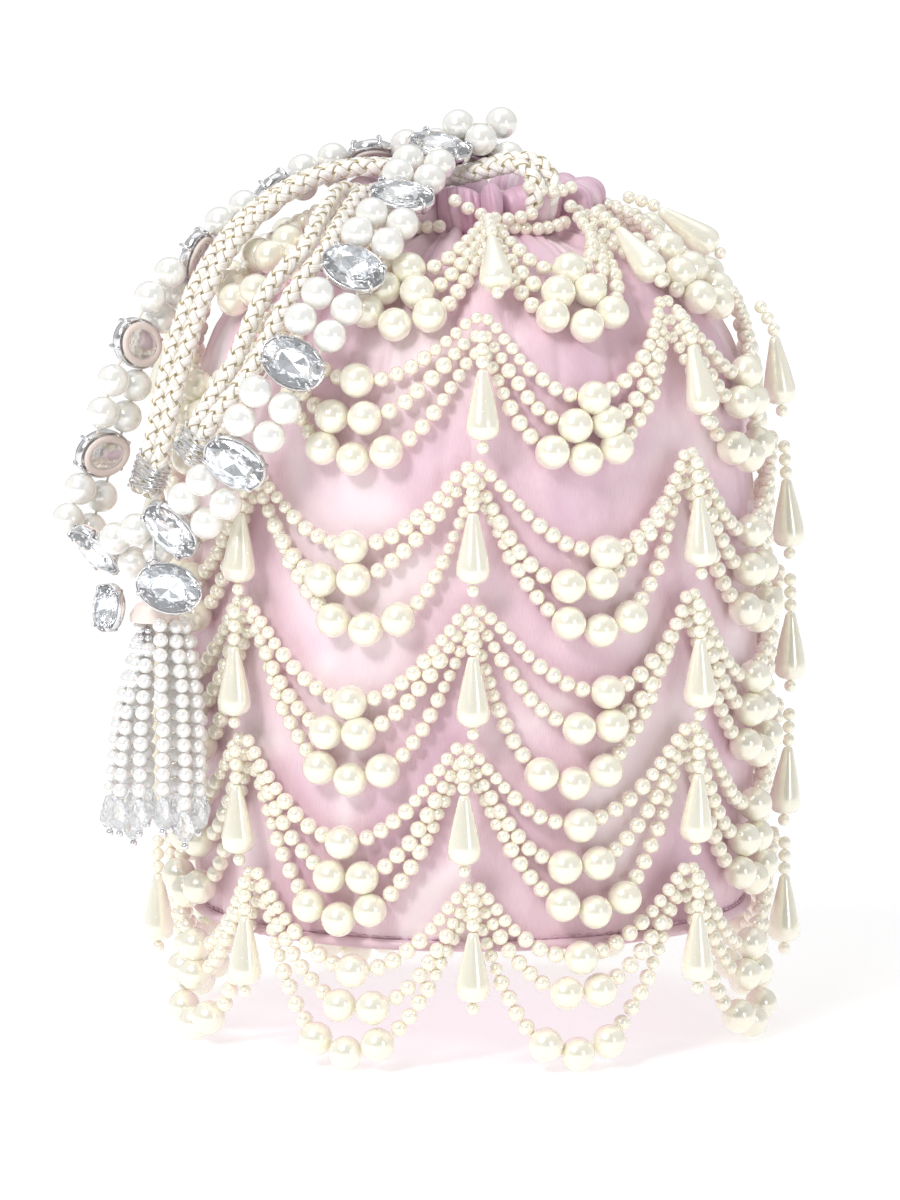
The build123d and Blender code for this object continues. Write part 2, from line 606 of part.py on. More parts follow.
def eased(pts):
    """Loop pearls moved apart from each other and from what they lie by."""
    pts = {k: (v[0], v[1], v[2]) for k, v in pts.items()}
    keys = sorted(pts)

    def shove(p, q, gap):
        d = dist(p, q)
        f = (gap - d) / max(d, 1e-6)
        return tuple(u + (u - v) * f for u, v in zip(p, q))
    for turn in range(90):
        for ka in keys:
            for kb in keys:
                if ka < kb and dist(pts[ka], pts[kb]) < 2 * R_P + 0.04:
                    a, b = pts[ka], pts[kb]
                    gap = 2 * R_P + 0.06
                    mid = dist(a, b)
                    f = 0.5 * (gap - mid) / max(mid, 1e-6)
                    pts[ka] = tuple(u + (u - v) * f for u, v in zip(a, b))
                    pts[kb] = tuple(v + (v - u) * f for u, v in zip(a, b))
        for ka in keys:
            p = pts[ka]
            for cloud, gap in blocks:
                if dist(p, cloud[0]) > 90.0 or (len(cloud) == 140 and dist(p, cloud[0]) > 34.0):
                    continue
                q = min(cloud, key=lambda c: (c[0] - p[0]) ** 2 + (c[1] - p[1]) ** 2 + (c[2] - p[2]) ** 2)
                if dist(p, q) < gap:
                    p = shove(p, q, gap + 0.02)
            pts[ka] = p
    worst = min(dist(pts[a], pts[b]) - 2 * R_P for a in keys for b in keys if a < b)
    lows = [min(dist(pts[k], c) for c in cloud) - gap for cloud, gap in blocks for k in keys]
    print("loop pearls: least gap", round(worst, 3), "least clearance", round(min(lows), 3))
    return {k: Vector(*v) for k, v in pts.items()}


pts = eased({k: (v.X, v.Y, v.Z) for k, v in pearls})
save([Pos(c.X, c.Y, c.Z) * Sphere(STRAP_PEARL_D / 2) for c in pts.values()], "strap_pearls")
print("strap pearls", [(round(c.X, 2), round(c.Y, 2), round(c.Z - ZB, 2)) for c in pts.values()][:4], len(pts))
for row in (-1, 1):
    chain = []
    for i in range(STRAP_N):
        p, t, n, b = loop_frame(S0 + i * pitch)
        chain.append(p + b * (row * 4.85) + n * -0.9)
        chain += [pts[(i, row, -1)], pts[(i, row, 1)]]
    for a, b_ in zip(chain, chain[1:] + chain[:1]):
        d = b_ - a
        threads.append(Plane(origin=a, z_dir=d).location * Cylinder(0.35, d.length, align=(Align.CENTER, Align.CENTER, Align.MIN)))
save(threads, "strap_threads")


end_cups, end_stones = [], []
for p, n, across, sc in END_STONES:
    n = Vector(*n).normalized()
    x = Vector(*across)
    x = (x - n * x.dot(n)).normalized()
    cup, stone = oval_parts(Vector(p[0], p[1], p[2] + ZB), n, x, sc)
    end_cups.append(cup)
    end_stones.append(stone)
save(settings + end_cups, "stone_settings")
save(crystals + end_stones, "oval_crystals")



def up(route):
    return [(x, y, z + ZB) for x, y, z in route]


for name, route in (("front_cord_a", FRONT_A), ("front_cord_b", FRONT_B), ("rear_cord_a", REAR_A), ("rear_cord_b", REAR_B)):
    save(tube(up(route), CORD_D, name), name)
save([tube(up(NECK_RUN_A), CORD_D, "neck_run_a"), tube(up(NECK_RUN_B), CORD_D, "neck_run_b")], "rear_cord_neck_run")
save([tube(up(FRONT_RUN_A), CORD_D, "front_run_a"), tube(up(FRONT_RUN_B), CORD_D, "front_run_b")], "front_cord_neck_run")

# silver wire wound round each pair of cords where it is tied to the loop
def wire_band(pa, pb, along, gap_axis_len, count, pitch_mm):
    """Thin flat turns of wire round two cords that lie side by side."""
    out = []
    mid = (Vector(*pa) + Vector(*pb)) * 0.5
    across = (Vector(*pb) - Vector(*pa))
    w = across.length
    for i in range(count):
        c = mid + along * ((i - (count - 1) / 2) * pitch_mm)
        pl = Plane(origin=c, x_dir=across.normalized(), z_dir=along)
        o = SlotOverall(w + CORD_D + 1.7, CORD_D + 1.7)
        h = SlotOverall(w + CORD_D + 0.5, CORD_D + 0.5)
        out.append(pl.location * extrude(o - h, amount=0.45, both=True))
    return out


def pair_frame(ra, rb, m):
    a0, a1 = Vector(*ra[m]), Vector(*ra[m + 1])
    b0, b1 = Vector(*rb[m]), Vector(*rb[m + 1])
    along = ((a1 - a0) + (b1 - b0)).normalized()
    return (a0 + a1) * 0.5, (b0 + b1) * 0.5, along


for name, ra, rb, m in (("front_wire_binding", FRONT_A, FRONT_B, 8), ("rear_wire_binding", REAR_A, REAR_B, 11)):
    pa, pb, along = pair_frame(up(ra), up(rb), m)
    save(wire_band(pa, pb, along, 0, 5, 1.5), name)

# ------------------------------------------------------------------ tassel
tp = Vector(TASSEL_P[0], TASSEL_P[1], TASSEL_P[2] + ZB)
eyelet = Plane(origin=tp, z_dir=(0, 1, 0)).location * Torus(2.4, 0.5)
post = Pos(tp.X, tp.Y, tp.Z + 2.3) * Cylinder(0.45, 6.5, align=(Align.CENTER, Align.CENTER, Align.MIN))
save(eyelet + post, "tassel_eyelet")
ring_r = 3.2
jump = Plane(origin=tp - Vector(0, 0, ring_r), z_dir=(1, 0, 0)).location * Torus(ring_r, 0.5)
save(jump, "tassel_ring")
tb = tp - Vector(0, 0, 2 * ring_r)
bail = Plane(origin=tb - Vector(0, 0, 0.4), z_dir=(0, 1, 0)).location * Torus(1.7, 0.45)
cap_top = tb.Z - 2.35
cap = make_face(Polyline((0, 0, 0), (1.6, 0, 0), (5.2, 0, -1.6), (7.0, 0, -4.5), (7.0, 0, -6.4), (6.2, 0, -6.4),
                         (6.2, 0, -4.9), (4.6, 0, -2.5), (0, 0, -2.0), close=True))
cap = Pos(tb.X, tb.Y, cap_top) * revolve(cap, Axis.Z, 360)
save(cap + bail, "tassel_cap")
strands, gems, seeds = [], [], []
for i in range(TASSEL_N):
    if i < 3:
        a, r_t, r_b = 2 * math.pi * i / 3 + 0.4, 1.95, 3.0
    else:
        a, r_t, r_b = 2 * math.pi * (i - 3) / 9, 5.55, 8.6
    top = Vector(tb.X + r_t * math.cos(a) * 0.7, tb.Y + r_t * math.sin(a) * 0.7, cap_top - 5.2 if i >= 3 else cap_top - 4.9)
    zb = ZB + 41.0 + 3.5 * noise(i, 3, 4)
    bot = Vector(tb.X + r_b * math.cos(a), tb.Y + r_b * math.sin(a), zb)
    d = bot - top
    strands.append(Plane(origin=top, z_dir=d).location * Cylinder(1.6, d.length, align=(Align.CENTER, Align.CENTER, Align.MIN)))
    g = make_face(Polyline((0, 0, 0), (0.9, 0, 0), (2.9, 0, -5.2), (2.6, 0, -7.6), (1.0, 0, -8.8), (0, 0, -8.8), close=True))
    gems.append(Pos(bot.X, bot.Y, bot.Z - 0.3) * revolve(g, Axis.Z, 360))
    seeds.append(ball((bot.X, bot.Y, bot.Z - 10.3), 2.2))
save(strands, "tassel_strands")
save(gems, "tassel_crystal_drops")
save(seeds, "tassel_seed_beads")
print("tassel pivot", [round(v / 1000, 5) for v in (tp.X, tp.Y, tp.Z)], "lower", [round(v / 1000, 5) for v in (tb.X, tb.Y, tb.Z)])
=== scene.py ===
import bpy
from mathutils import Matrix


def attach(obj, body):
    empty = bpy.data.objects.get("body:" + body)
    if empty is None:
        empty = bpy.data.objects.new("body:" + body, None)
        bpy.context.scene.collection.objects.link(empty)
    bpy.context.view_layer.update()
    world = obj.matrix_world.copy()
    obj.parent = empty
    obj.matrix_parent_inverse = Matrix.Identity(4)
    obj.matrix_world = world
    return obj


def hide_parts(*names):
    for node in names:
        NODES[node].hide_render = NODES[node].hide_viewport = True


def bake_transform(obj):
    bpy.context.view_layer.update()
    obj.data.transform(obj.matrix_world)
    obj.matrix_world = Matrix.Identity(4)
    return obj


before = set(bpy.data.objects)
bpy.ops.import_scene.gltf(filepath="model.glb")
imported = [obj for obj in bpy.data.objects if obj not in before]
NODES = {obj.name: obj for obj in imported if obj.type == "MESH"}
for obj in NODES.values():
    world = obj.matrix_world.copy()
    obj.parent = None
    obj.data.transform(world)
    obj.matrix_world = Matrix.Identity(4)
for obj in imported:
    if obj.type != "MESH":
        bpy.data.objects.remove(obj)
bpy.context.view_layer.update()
import bpy
import math
import random
import numpy as np
from mathutils import Vector, Matrix

random.seed(7)
RNG = np.random.RandomState(11)
MM = 0.001

# ---------------------------------------------------------------- dimensions
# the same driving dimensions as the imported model, in millimetres
ZB = 34.0
WALL = [(80.5, 0.0), (84.2, 85.0), (80.0, 158.0)]
SHOULDER = [(30.0, 202.0), (66.0, 184.0), (80.0, 158.0)]
N_SWAGS = 8
BIG_D = 10.0
CAD_STRAND_D = 4.2
DROP_D, DROP_L = 9.6, 20.0
CHAIN_D, TAIL_D = 3.8, 3.6
DROP_R_LIFT = 9.7
CORD_D = 5.6
STRAP_PEARL_D = 9.4
STRAP_N = 13
OVAL = (18.0, 13.0)
TASSEL_P = (-90.5, -58.0, 107.0)
TASSEL_N = 12
APEX_Z = {2: 178.0, 3: 138.5, 4: 99.5, 5: 60.5, 6: 21.0}
APEX_S1 = 7.0
SAG = (26.0, 36.0, 50.0)
OFF = (0.0, 4.2, 8.4)
SHARP = (1.2, 1.6, 2.0)
LIFT = (3.2, 1.6, 0.0)


def circle3(p, q, r):
    ax, ay = p
    bx, by = q
    cx, cy = r
    d = 2 * (ax * (by - cy) + bx * (cy - ay) + cx * (ay - by))
    ux = ((ax * ax + ay * ay) * (by - cy) + (bx * bx + by * by) * (cy - ay) + (cx * cx + cy * cy) * (ay - by)) / d
    uy = ((ax * ax + ay * ay) * (cx - bx) + (bx * bx + by * by) * (ax - cx) + (cx * cx + cy * cy) * (bx - ax)) / d
    return ux, uy, math.hypot(ax - ux, ay - uy)


def profile_table():
    rows = []
    for pts, start, end, n in ((SHOULDER, SHOULDER[0], SHOULDER[2], 120), (WALL, WALL[2], WALL[0], 240)):
        ux, uy, r = circle3(*pts)
        a0 = math.atan2(start[1] - uy, start[0] - ux)
        a1 = math.atan2(end[1] - uy, end[0] - ux)
        for i in range(n + 1):
            a = a0 + (a1 - a0) * i / n
            rows.append((ux + r * math.cos(a), uy + r * math.sin(a), math.cos(a), math.sin(a)))
    kept = [q for q in rows if q[1] > 30.0]
    r_end, z_end = kept[-1][0], kept[-1][1]
    for i in range(1, 90):
        kept.append((r_end, z_end - i * 1.0, 1.0, 0.0))
    out, s = [], 0.0
    for i, q in enumerate(kept):
        if i:
            s += math.hypot(q[0] - kept[i - 1][0], q[1] - kept[i - 1][1])
        out.append((s,) + q)
    return out


PROF = profile_table()


def surf(s):
    s = max(PROF[0][0], min(s, PROF[-1][0] - 1e-6))
    lo, hi = 0, len(PROF) - 1
    while hi - lo > 1:
        m = (lo + hi) // 2
        if PROF[m][0] <= s:
            lo = m
        else:
            hi = m
    a, b = PROF[lo], PROF[hi]
    t = (s - a[0]) / max(b[0] - a[0], 1e-9)
    r, z, nr, nz = (a[k] + (b[k] - a[k]) * t for k in (1, 2, 3, 4))
    n = math.hypot(nr, nz)
    return r, z, nr / n, nz / n


def s_of_z(z):
    return min(PROF, key=lambda q: abs(q[2] - z))[0]


def dist(a, b):
    return math.sqrt(sum((p - q) ** 2 for p, q in zip(a, b)))


def noise(*k):
    v = math.sin(k[0] * 12.9898 + k[1] * 78.233 + k[2] * 37.719) * 43758.5453
    return 2 * (v - math.floor(v)) - 1


APEX_FIX = {
    (1, 0): (5.0, 5.5), (1, 1): (0.0, 4.0), (2, 0): (3.0, 1.0), (2, 1): (2.0, -2.0), (3, 0): (0.5, -1.0),
    (3, 1): (-1.0, -2.5), (3, 7): (0.0, 2.0), (4, 0): (0.5, 0.0), (4, 1): (-2.0, -1.5),
    (4, 7): (-1.5, 1.0), (5, 0): (-2.0, 0.0), (5, 1): (-2.0, -2.0), (5, 7): (-1.5, 1.5),
    (6, 0): (0.5, 0.5), (6, 1): (-1.0, -0.5), (6, 7): (1.0, 0.5),
}
SWAG_FIX = {
    (1, 0): ((23.0, 3.0), (31.5, 2.0), (41.0, 3.0)),
    (1, 7): ((24.0, 7.0), (32.5, 7.0), (42.0, 8.0)),
    (2, 0): ((23.0, 2.0), (31.0, 1.0), (40.0, -1.0)),
    (2, 7): ((18.0, 0.0), (28.0, -2.0), (39.0, 0.0)),
    (3, 0): ((26.0, 4.5), (35.5, -2.0), (48.0, 2.5)),
    (3, 7): ((22.0, 0.0), (32.0, -4.0), (45.0, 4.5)),
    (4, 0): ((25.5, 4.5), (36.0, 1.0), (51.0, -5.0)),
    (4, 7): ((27.0, 0.0), (36.5, -2.5), (49.0, 0.0)),
    (5, 0): ((24.5, -3.0), (37.0, -2.5), (50.0, 1.5)),
    (5, 7): ((28.0, -3.0), (39.0, -2.0), (50.5, -4.0)),
    (6, 0): ((22.5, -2.5), (33.0, -2.0), (50.0, -3.5)),
    (6, 7): ((26.0, 0.0), (37.0, 1.0), (50.0, -2.0)),
}


def apex(tier, j):
    j %= N_SWAGS
    base = APEX_S1 if tier == 1 else s_of_z(APEX_Z[tier])
    if (tier, j) in APEX_FIX:
        side, down = APEX_FIX[(tier, j)]
    elif tier == 1:
        side, down = 1.0 * noise(tier, j, 1), 0.6 * noise(tier, j, 2)
    else:
        side, down = 1.6 * noise(tier, j, 1), 0.6 * noise(tier, j, 2)
    return side, base + down


NO_DROP = ((1, 6), (1, 7), (2, 7))


def swag_shape(tier, j, k):
    j %= N_SWAGS
    if (tier, j) in SWAG_FIX:
        sag, shift = SWAG_FIX[(tier, j)][k]
    else:
        sag = SAG[k] * (0.8 if tier == 1 else 0.86 if tier == 2 else 1.0)
        sag += 2.0 * noise(tier + 10, j, k + 3)
        shift = 3.0 * noise(tier + 20, j, k + 5)
    return sag, shift


def swag_point(tier, j, k, u, lift=None):
    side_l, s_l = apex(tier, j)
    side_r, s_r = apex(tier, j + 1)
    sag, shift = swag_shape(tier, j, k)
    t = 0.5 * (1 + u)
    s_top = s_l + (s_r - s_l) * t
    r_ref = surf(s_top + 0.7 * sag)[0]
    half = r_ref * math.pi / N_SWAGS
    if tier == 6 and k == 2:
        target = ZB - 0.5 * BIG_D
        s_base = s_of_z(30.5)
        sag = (s_base + (surf(s_base)[1] + target)) - (s_top + OFF[k]) + OFF[k]
    reach = sag - OFF[k]
    d = (1 - abs(u)) * half
    rnd = 4.0
    dd = (math.sqrt(d * d + rnd * rnd) - rnd) / (math.sqrt(half * half + rnd * rnd) - rnd)
    v = 1 - dd
    c = SHARP[k]
    shape = (math.cosh(c * v) - 1) / (math.cosh(c) - 1)
    s = s_top + OFF[k] + reach * (1 - shape)
    r, z, nr, nz = surf(s)
    lift_k = LIFT[k] * math.exp(-((d / 15.0) ** 2))
    h = 0.5 * CAD_STRAND_D + 1.0 + lift_k if lift is None else lift
    bulge = math.cos(0.5 * math.pi * abs(u)) ** 0.8 if abs(u) < 1 else 0.0
    side = side_l + (side_r - side_l) * t
    phi = (j + t) * 2 * math.pi / N_SWAGS + (side * (1 - bulge) + shift * bulge) / max(r, 40.0)
    rr, zz = r + h * nr, z + h * nz
    return (rr * math.sin(phi), -rr * math.cos(phi), zz + ZB)


def big_pearls(tier, j, k):
    h = 0.5 * BIG_D + 0.3
    n = k + 1

    def at(u):
        return swag_point(tier, j, k, u, lift=h)

    def step(u, way, gap):
        a, x = at(u), u
        while dist(at(x), a) < gap and abs(x) < 1:
            x += way * 0.002
        return x

    gap = BIG_D + 0.12
    if n == 1:
        us = [0.0]
    elif n == 2:
        e = step(0.0, 1, gap / 2)
        us = [-e, step(-e, 1, gap)]
    else:
        us = [step(0.0, -1, gap), 0.0, step(0.0, 1, gap)]
    return us, [at(u) for u in us]


def string_beads(tier, j, k, way, u_big, centre):
    """Small pearls from a large pearl up to the apex: (centre, diameter)."""
    path, u = [], u_big
    while abs(u) < 1:
        u = max(-1.0, min(1.0, u + way * 0.004))
        p = swag_point(tier, j, k, u if abs(u) < 1 else way * 0.9999)
        if dist(p, centre) >= 0.5 * BIG_D + 0.05:
            path.append(p)
    run = [0.0]
    for a, b in zip(path, path[1:]):
        run.append(run[-1] + dist(a, b))
    total = run[-1]
    seeds_len = total * 0.5 if k == 0 else 10.0 if k == 1 else min(36.0, 0.5 * total)
    n_seed = max(2, round(seeds_len / 3.85))
    n_big = max(1, round((total - (n_seed - 0.0) * 3.85) / 4.85))
    sizes = [4.85] * n_big + [3.85] * n_seed
    f = total / sum(sizes)
    out, at = [], 0.0
    m = 0
    for q, size in enumerate(sizes):
        mid = at + 0.5 * size * f
        at += size * f
        while m < len(run) - 2 and run[m + 1] < mid:
            m += 1
        t = (mid - run[m]) / max(run[m + 1] - run[m], 1e-9)
        p = [a + (b - a) * t for a, b in zip(path[m], path[m + 1])]
        wob = 0.16
        p = [c + wob * noise(tier * 7 + q, j * 3 + k + way, ax + 2) for ax, c in enumerate(p)]
        out.append((p, size * min(f, 1.03) * (0.985 + 0.012 * noise(q, tier + j, k))))
    return out


# ------------------------------------------------------------- mesh helpers
def cube_sphere(n):
    """Unit sphere of even quads: vertices and faces."""
    verts, index, faces = [], {}, []

    def add(p):
        key = tuple(round(c, 5) for c in p)
        if key not in index:
            index[key] = len(verts)
            verts.append(p)
        return index[key]
    axes = [((1, 0, 0), (0, 1, 0), (0, 0, 1)), ((-1, 0, 0), (0, 0, 1), (0, 1, 0)),
            ((0, 1, 0), (0, 0, 1), (1, 0, 0)), ((0, -1, 0), (1, 0, 0), (0, 0, 1)),
            ((0, 0, 1), (1, 0, 0), (0, 1, 0)), ((0, 0, -1), (0, 1, 0), (1, 0, 0))]
    for o, a, b in axes:
        o, a, b = (np.array(v, float) for v in (o, a, b))
        for i in range(n):
            for k in range(n):
                quad = []
                for di, dk in ((0, 0), (1, 0), (1, 1), (0, 1)):
                    x = math.tan((2 * (i + di) / n - 1) * math.pi / 4)
                    y = math.tan((2 * (k + dk) / n - 1) * math.pi / 4)
                    p = o + a * x + b * y
                    quad.append(add(tuple(p / np.linalg.norm(p))))
                faces.append(quad)
    return np.array(verts), np.array(faces)


SPH = {n: cube_sphere(n) for n in (4, 5, 8, 10)}


def make_mesh(name, V, F, smooth=True, uv=None):
    """V in millimetres; F a list of faces or an (n, k) array."""
    me = bpy.data.meshes.new(name)
    V = np.asarray(V, float) * MM
    if isinstance(F, np.ndarray):
        k = F.shape[1]
        me.vertices.add(len(V))
        me.vertices.foreach_set("co", V.ravel())
        me.loops.add(F.size)
        me.loops.foreach_set("vertex_index", F.ravel().astype(np.int32))
        me.polygons.add(len(F))
        me.polygons.foreach_set("loop_start", (np.arange(len(F)) * k).astype(np.int32))
        me.update(calc_edges=True)
        me.validate()
    else:
        me.from_pydata([tuple(v) for v in V], [], [list(map(int, f)) for f in F])
        me.update()
    if smooth:
        me.polygons.foreach_set("use_smooth", [True] * len(me.polygons))
    if uv is not None:
        layer = me.uv_layers.new(name="UVMap")
        idx = np.empty(len(me.loops), np.int32)
        me.loops.foreach_get("vertex_index", idx)
        layer.data.foreach_set("uv", np.asarray(uv, float)[idx].ravel())
    ob = bpy.data.objects.new(name, me)
    bpy.context.scene.collection.objects.link(ob)
    return ob


def balls(name, items, n):
    """One mesh of many spheres: items of (centre, diameter)."""
    sv, sf = SPH[n]
    V, F = [], []
    for i, (c, d) in enumerate(items):
        V.append(sv * (d / 2) + np.array(c))
        F.append(sf + i * len(sv))
    return make_mesh(name, np.concatenate(V), np.concatenate(F))


def revolve_pts(prof, seg):
    """Closed surface of revolution: prof is [(r, z)] with r 0 at both ends."""
    V, F = [(0, 0, prof[0][1])], []
    for r, z in prof[1:-1]:
        for i in range(seg):
            a = 2 * math.pi * i / seg
            V.append((r * math.cos(a), r * math.sin(a), z))
    V.append((0, 0, prof[-1][1]))
    rows = len(prof) - 2
    for i in range(seg):
        F.append((0, 1 + i, 1 + (i + 1) % seg))
    for q in range(rows - 1):
        for i in range(seg):
            a, b = 1 + q * seg + i, 1 + q * seg + (i + 1) % seg
            F.append((a, a + seg, b + seg, b))
    last = len(V) - 1
    for i in range(seg):
        F.append((last, 1 + (rows - 1) * seg + (i + 1) % seg, 1 + (rows - 1) * seg + i))
    return np.array(V, float), F


def joined(parts):
    V, F, off = [], [], 0
    for v, f in parts:
        V.append(np.asarray(v, float))
        F += [[int(i) + off for i in face] for face in f]
        off += len(v)
    return np.concatenate(V), F


def place(v, origin, x, y, z):
    m = np.array([list(x), list(y), list(z)], float)
    return np.asarray(v, float) @ m + np.array(list(origin))


def flip_out(ob):
    """Outward normals on every closed shell of a piece."""
    import bmesh
    bm = bmesh.new()
    bm.from_mesh(ob.data)
    bmesh.ops.recalc_face_normals(bm, faces=bm.faces)
    bm.to_mesh(ob.data)
    bm.free()
    return ob


# --------------------------------------------------------------- materials
def mat(name):
    m = bpy.data.materials.new(name)
    m.use_nodes = True
    nt = m.node_tree
    b = nt.nodes["Principled BSDF"]
    return m, nt, b


def node(nt, kind, **kw):
    n = nt.nodes.new(kind)
    for k, v in kw.items():
        setattr(n, k, v)
    return n


def ramp(nt, stops):
    r = nt.nodes.new("ShaderNodeValToRGB")
    e = r.color_ramp.elements
    while len(e) < len(stops):
        e.new(0.5)
    for el, (p, c) in zip(e, stops):
        el.position = p
        el.color = (*c, 1)
    return r


def satin(name, light, dark, bump=0.25, scale=(3400, 300)):
    """Satin: fine vertical weave in the cloth's own flat coordinates, with broad painted highlight and painted shade
    patches.
    """
    m, nt, b = mat(name)
    uv = node(nt, "ShaderNodeUVMap")
    mp = node(nt, "ShaderNodeMapping")
    mp.inputs["Scale"].default_value = (scale[0], scale[1], 1)
    nt.links.new(uv.outputs[0], mp.inputs[0])
    n1 = node(nt, "ShaderNodeTexNoise")
    n1.inputs["Scale"].default_value = 1.0
    n1.inputs["Detail"].default_value = 3.0
    n1.inputs["Roughness"].default_value = 0.6
    nt.links.new(mp.outputs[0], n1.inputs["Vector"])
    mp2 = node(nt, "ShaderNodeMapping")
    mp2.inputs["Scale"].default_value = (60, 26, 1)
    nt.links.new(uv.outputs[0], mp2.inputs[0])
    n2 = node(nt, "ShaderNodeTexNoise")
    n2.inputs["Scale"].default_value = 1.0
    n2.inputs["Detail"].default_value = 4.0
    nt.links.new(mp2.outputs[0], n2.inputs["Vector"])
    mix = node(nt, "ShaderNodeMath", operation="MULTIPLY_ADD")
    mix.inputs[1].default_value = 0.72
    nt.links.new(n1.outputs["Fac"], mix.inputs[0])
    sc = node(nt, "ShaderNodeMath", operation="MULTIPLY")
    sc.inputs[1].default_value = 0.28
    nt.links.new(n2.outputs["Fac"], sc.inputs[0])
    nt.links.new(sc.outputs[0], mix.inputs[2])
    r = ramp(nt, [(0.33, dark), (0.66, light)])
    nt.links.new(mix.outputs[0], r.inputs[0])
    # painted highlight and painted shade: broad pale and mauve patches placed by noise over the cloth
    painted_light_mapping = node(nt, "ShaderNodeMapping")
    painted_light_mapping.inputs["Scale"].default_value = (30, 17, 1)
    nt.links.new(uv.outputs[0], painted_light_mapping.inputs[0])
    painted_light_noise = node(nt, "ShaderNodeTexNoise")
    painted_light_noise.inputs["Scale"].default_value = 1.0
    painted_light_noise.inputs["Detail"].default_value = 2.0
    painted_light_noise.inputs["Distortion"].default_value = 0.8
    nt.links.new(painted_light_mapping.outputs[0], painted_light_noise.inputs["Vector"])
    # painted highlight mask: where the noise is high the colour is pushed towards a pale highlight pink
    up = ramp(nt, [(0.50, (0, 0, 0)), (0.66, (0.75, 0.75, 0.75))])
    nt.links.new(painted_light_noise.outputs["Fac"], up.inputs[0])
    # painted shade mask: where the noise is low the colour is pushed towards a mauve shade
    painted_shade_mask = ramp(nt, [(0.34, (0.45, 0.45, 0.45)), (0.48, (0, 0, 0))])
    nt.links.new(painted_light_noise.outputs["Fac"], painted_shade_mask.inputs[0])
    # mix in the painted highlight colour, then the painted shade colour
    painted_highlight_mix = node(nt, "ShaderNodeMix", data_type="RGBA")
    nt.links.new(up.outputs[0], painted_highlight_mix.inputs[0])
    nt.links.new(r.outputs[0], painted_highlight_mix.inputs[6])
    painted_highlight_mix.inputs[7].default_value = (0.975, 0.870, 0.905, 1)
    painted_shade_mix = node(nt, "ShaderNodeMix", data_type="RGBA")
    nt.links.new(painted_shade_mask.outputs[0], painted_shade_mix.inputs[0])
    nt.links.new(painted_highlight_mix.outputs[2], painted_shade_mix.inputs[6])
    painted_shade_mix.inputs[7].default_value = (0.640, 0.400, 0.530, 1)
    nt.links.new(painted_shade_mix.outputs[2], b.inputs["Base Color"])
    rr = ramp(nt, [(0.2, (0.40, 0.40, 0.40)), (0.8, (0.27, 0.27, 0.27))])
    nt.links.new(n1.outputs["Fac"], rr.inputs[0])
    nt.links.new(rr.outputs[0], b.inputs["Roughness"])
    bp = node(nt, "ShaderNodeBump")
    bp.inputs["Strength"].default_value = bump
    bp.inputs["Distance"].default_value = 0.00012
    nt.links.new(n1.outputs["Fac"], bp.inputs["Height"])
    nt.links.new(bp.outputs[0], b.inputs["Normal"])
    b.inputs["Sheen Weight"].default_value = 0.35
    b.inputs["Sheen Roughness"].default_value = 0.35
    b.inputs["Sheen Tint"].default_value = (1.0, 0.86, 0.92, 1)
    b.inputs["Specular IOR Level"].default_value = 0.55
    b.inputs["Specular Tint"].default_value = (1.0, 0.93, 0.96, 1)
    return m


def pearl(name, light, dark, warm, rough=0.3, sss=0.22, scale=160):
    """Imitation pearl: soft body colour, clear glaze, warm light inside from subsurface scatter, and a faint painted
    warm glow.
    """
    m, nt, b = mat(name)
    tc = node(nt, "ShaderNodeTexCoord")
    n1 = node(nt, "ShaderNodeTexNoise")
    n1.inputs["Scale"].default_value = scale
    n1.inputs["Detail"].default_value = 2.0
    nt.links.new(tc.outputs["Object"], n1.inputs["Vector"])
    r = ramp(nt, [(0.3, dark), (0.7, light)])
    nt.links.new(n1.outputs["Fac"], r.inputs[0])
    nt.links.new(r.outputs[0], b.inputs["Base Color"])
    n2 = node(nt, "ShaderNodeTexNoise")
    n2.inputs["Scale"].default_value = 1400
    n2.inputs["Detail"].default_value = 2.0
    nt.links.new(tc.outputs["Object"], n2.inputs["Vector"])
    rr = ramp(nt, [(0.25, (rough + 0.06,) * 3), (0.75, (rough - 0.05,) * 3)])
    nt.links.new(n2.outputs["Fac"], rr.inputs[0])
    nt.links.new(rr.outputs[0], b.inputs["Roughness"])
    b.inputs["Metallic"].default_value = 0.30
    # painted glow: a faint warm emission lifts the pearls' shaded sides
    b.inputs["Emission Color"].default_value = (1.0, 0.90, 0.74, 1)
    b.inputs["Emission Strength"].default_value = 0.03
    b.inputs["Subsurface Weight"].default_value = sss
    b.inputs["Subsurface Radius"].default_value = (1.0, 0.6, 0.35)
    b.inputs["Subsurface Scale"].default_value = 0.0018
    b.inputs["Specular IOR Level"].default_value = 0.6
    b.inputs["Coat Weight"].default_value = 1.0
    b.inputs["Coat Roughness"].default_value = 0.05
    b.inputs["Coat IOR"].default_value = 1.55
    b.inputs["Sheen Weight"].default_value = 0.45
    b.inputs["Sheen Roughness"].default_value = 0.2
    b.inputs["Sheen Tint"].default_value = (*warm, 1)
    return m


def metal(name, col, rough, scratch=0.08):
    m, nt, b = mat(name)
    tc = node(nt, "ShaderNodeTexCoord")
    n1 = node(nt, "ShaderNodeTexNoise")
    n1.inputs["Scale"].default_value = 900
    n1.inputs["Detail"].default_value = 4
    nt.links.new(tc.outputs["Object"], n1.inputs["Vector"])
    r = ramp(nt, [(0.3, (rough - scratch / 2,) * 3), (0.7, (rough + scratch,) * 3)])
    nt.links.new(n1.outputs["Fac"], r.inputs[0])
    nt.links.new(r.outputs[0], b.inputs["Roughness"])
    c = ramp(nt, [(0.2, tuple(0.9 * x for x in col)), (0.8, col)])
    nt.links.new(n1.outputs["Fac"], c.inputs[0])
    nt.links.new(c.outputs[0], b.inputs["Base Color"])
    b.inputs["Metallic"].default_value = 1.0
    return m


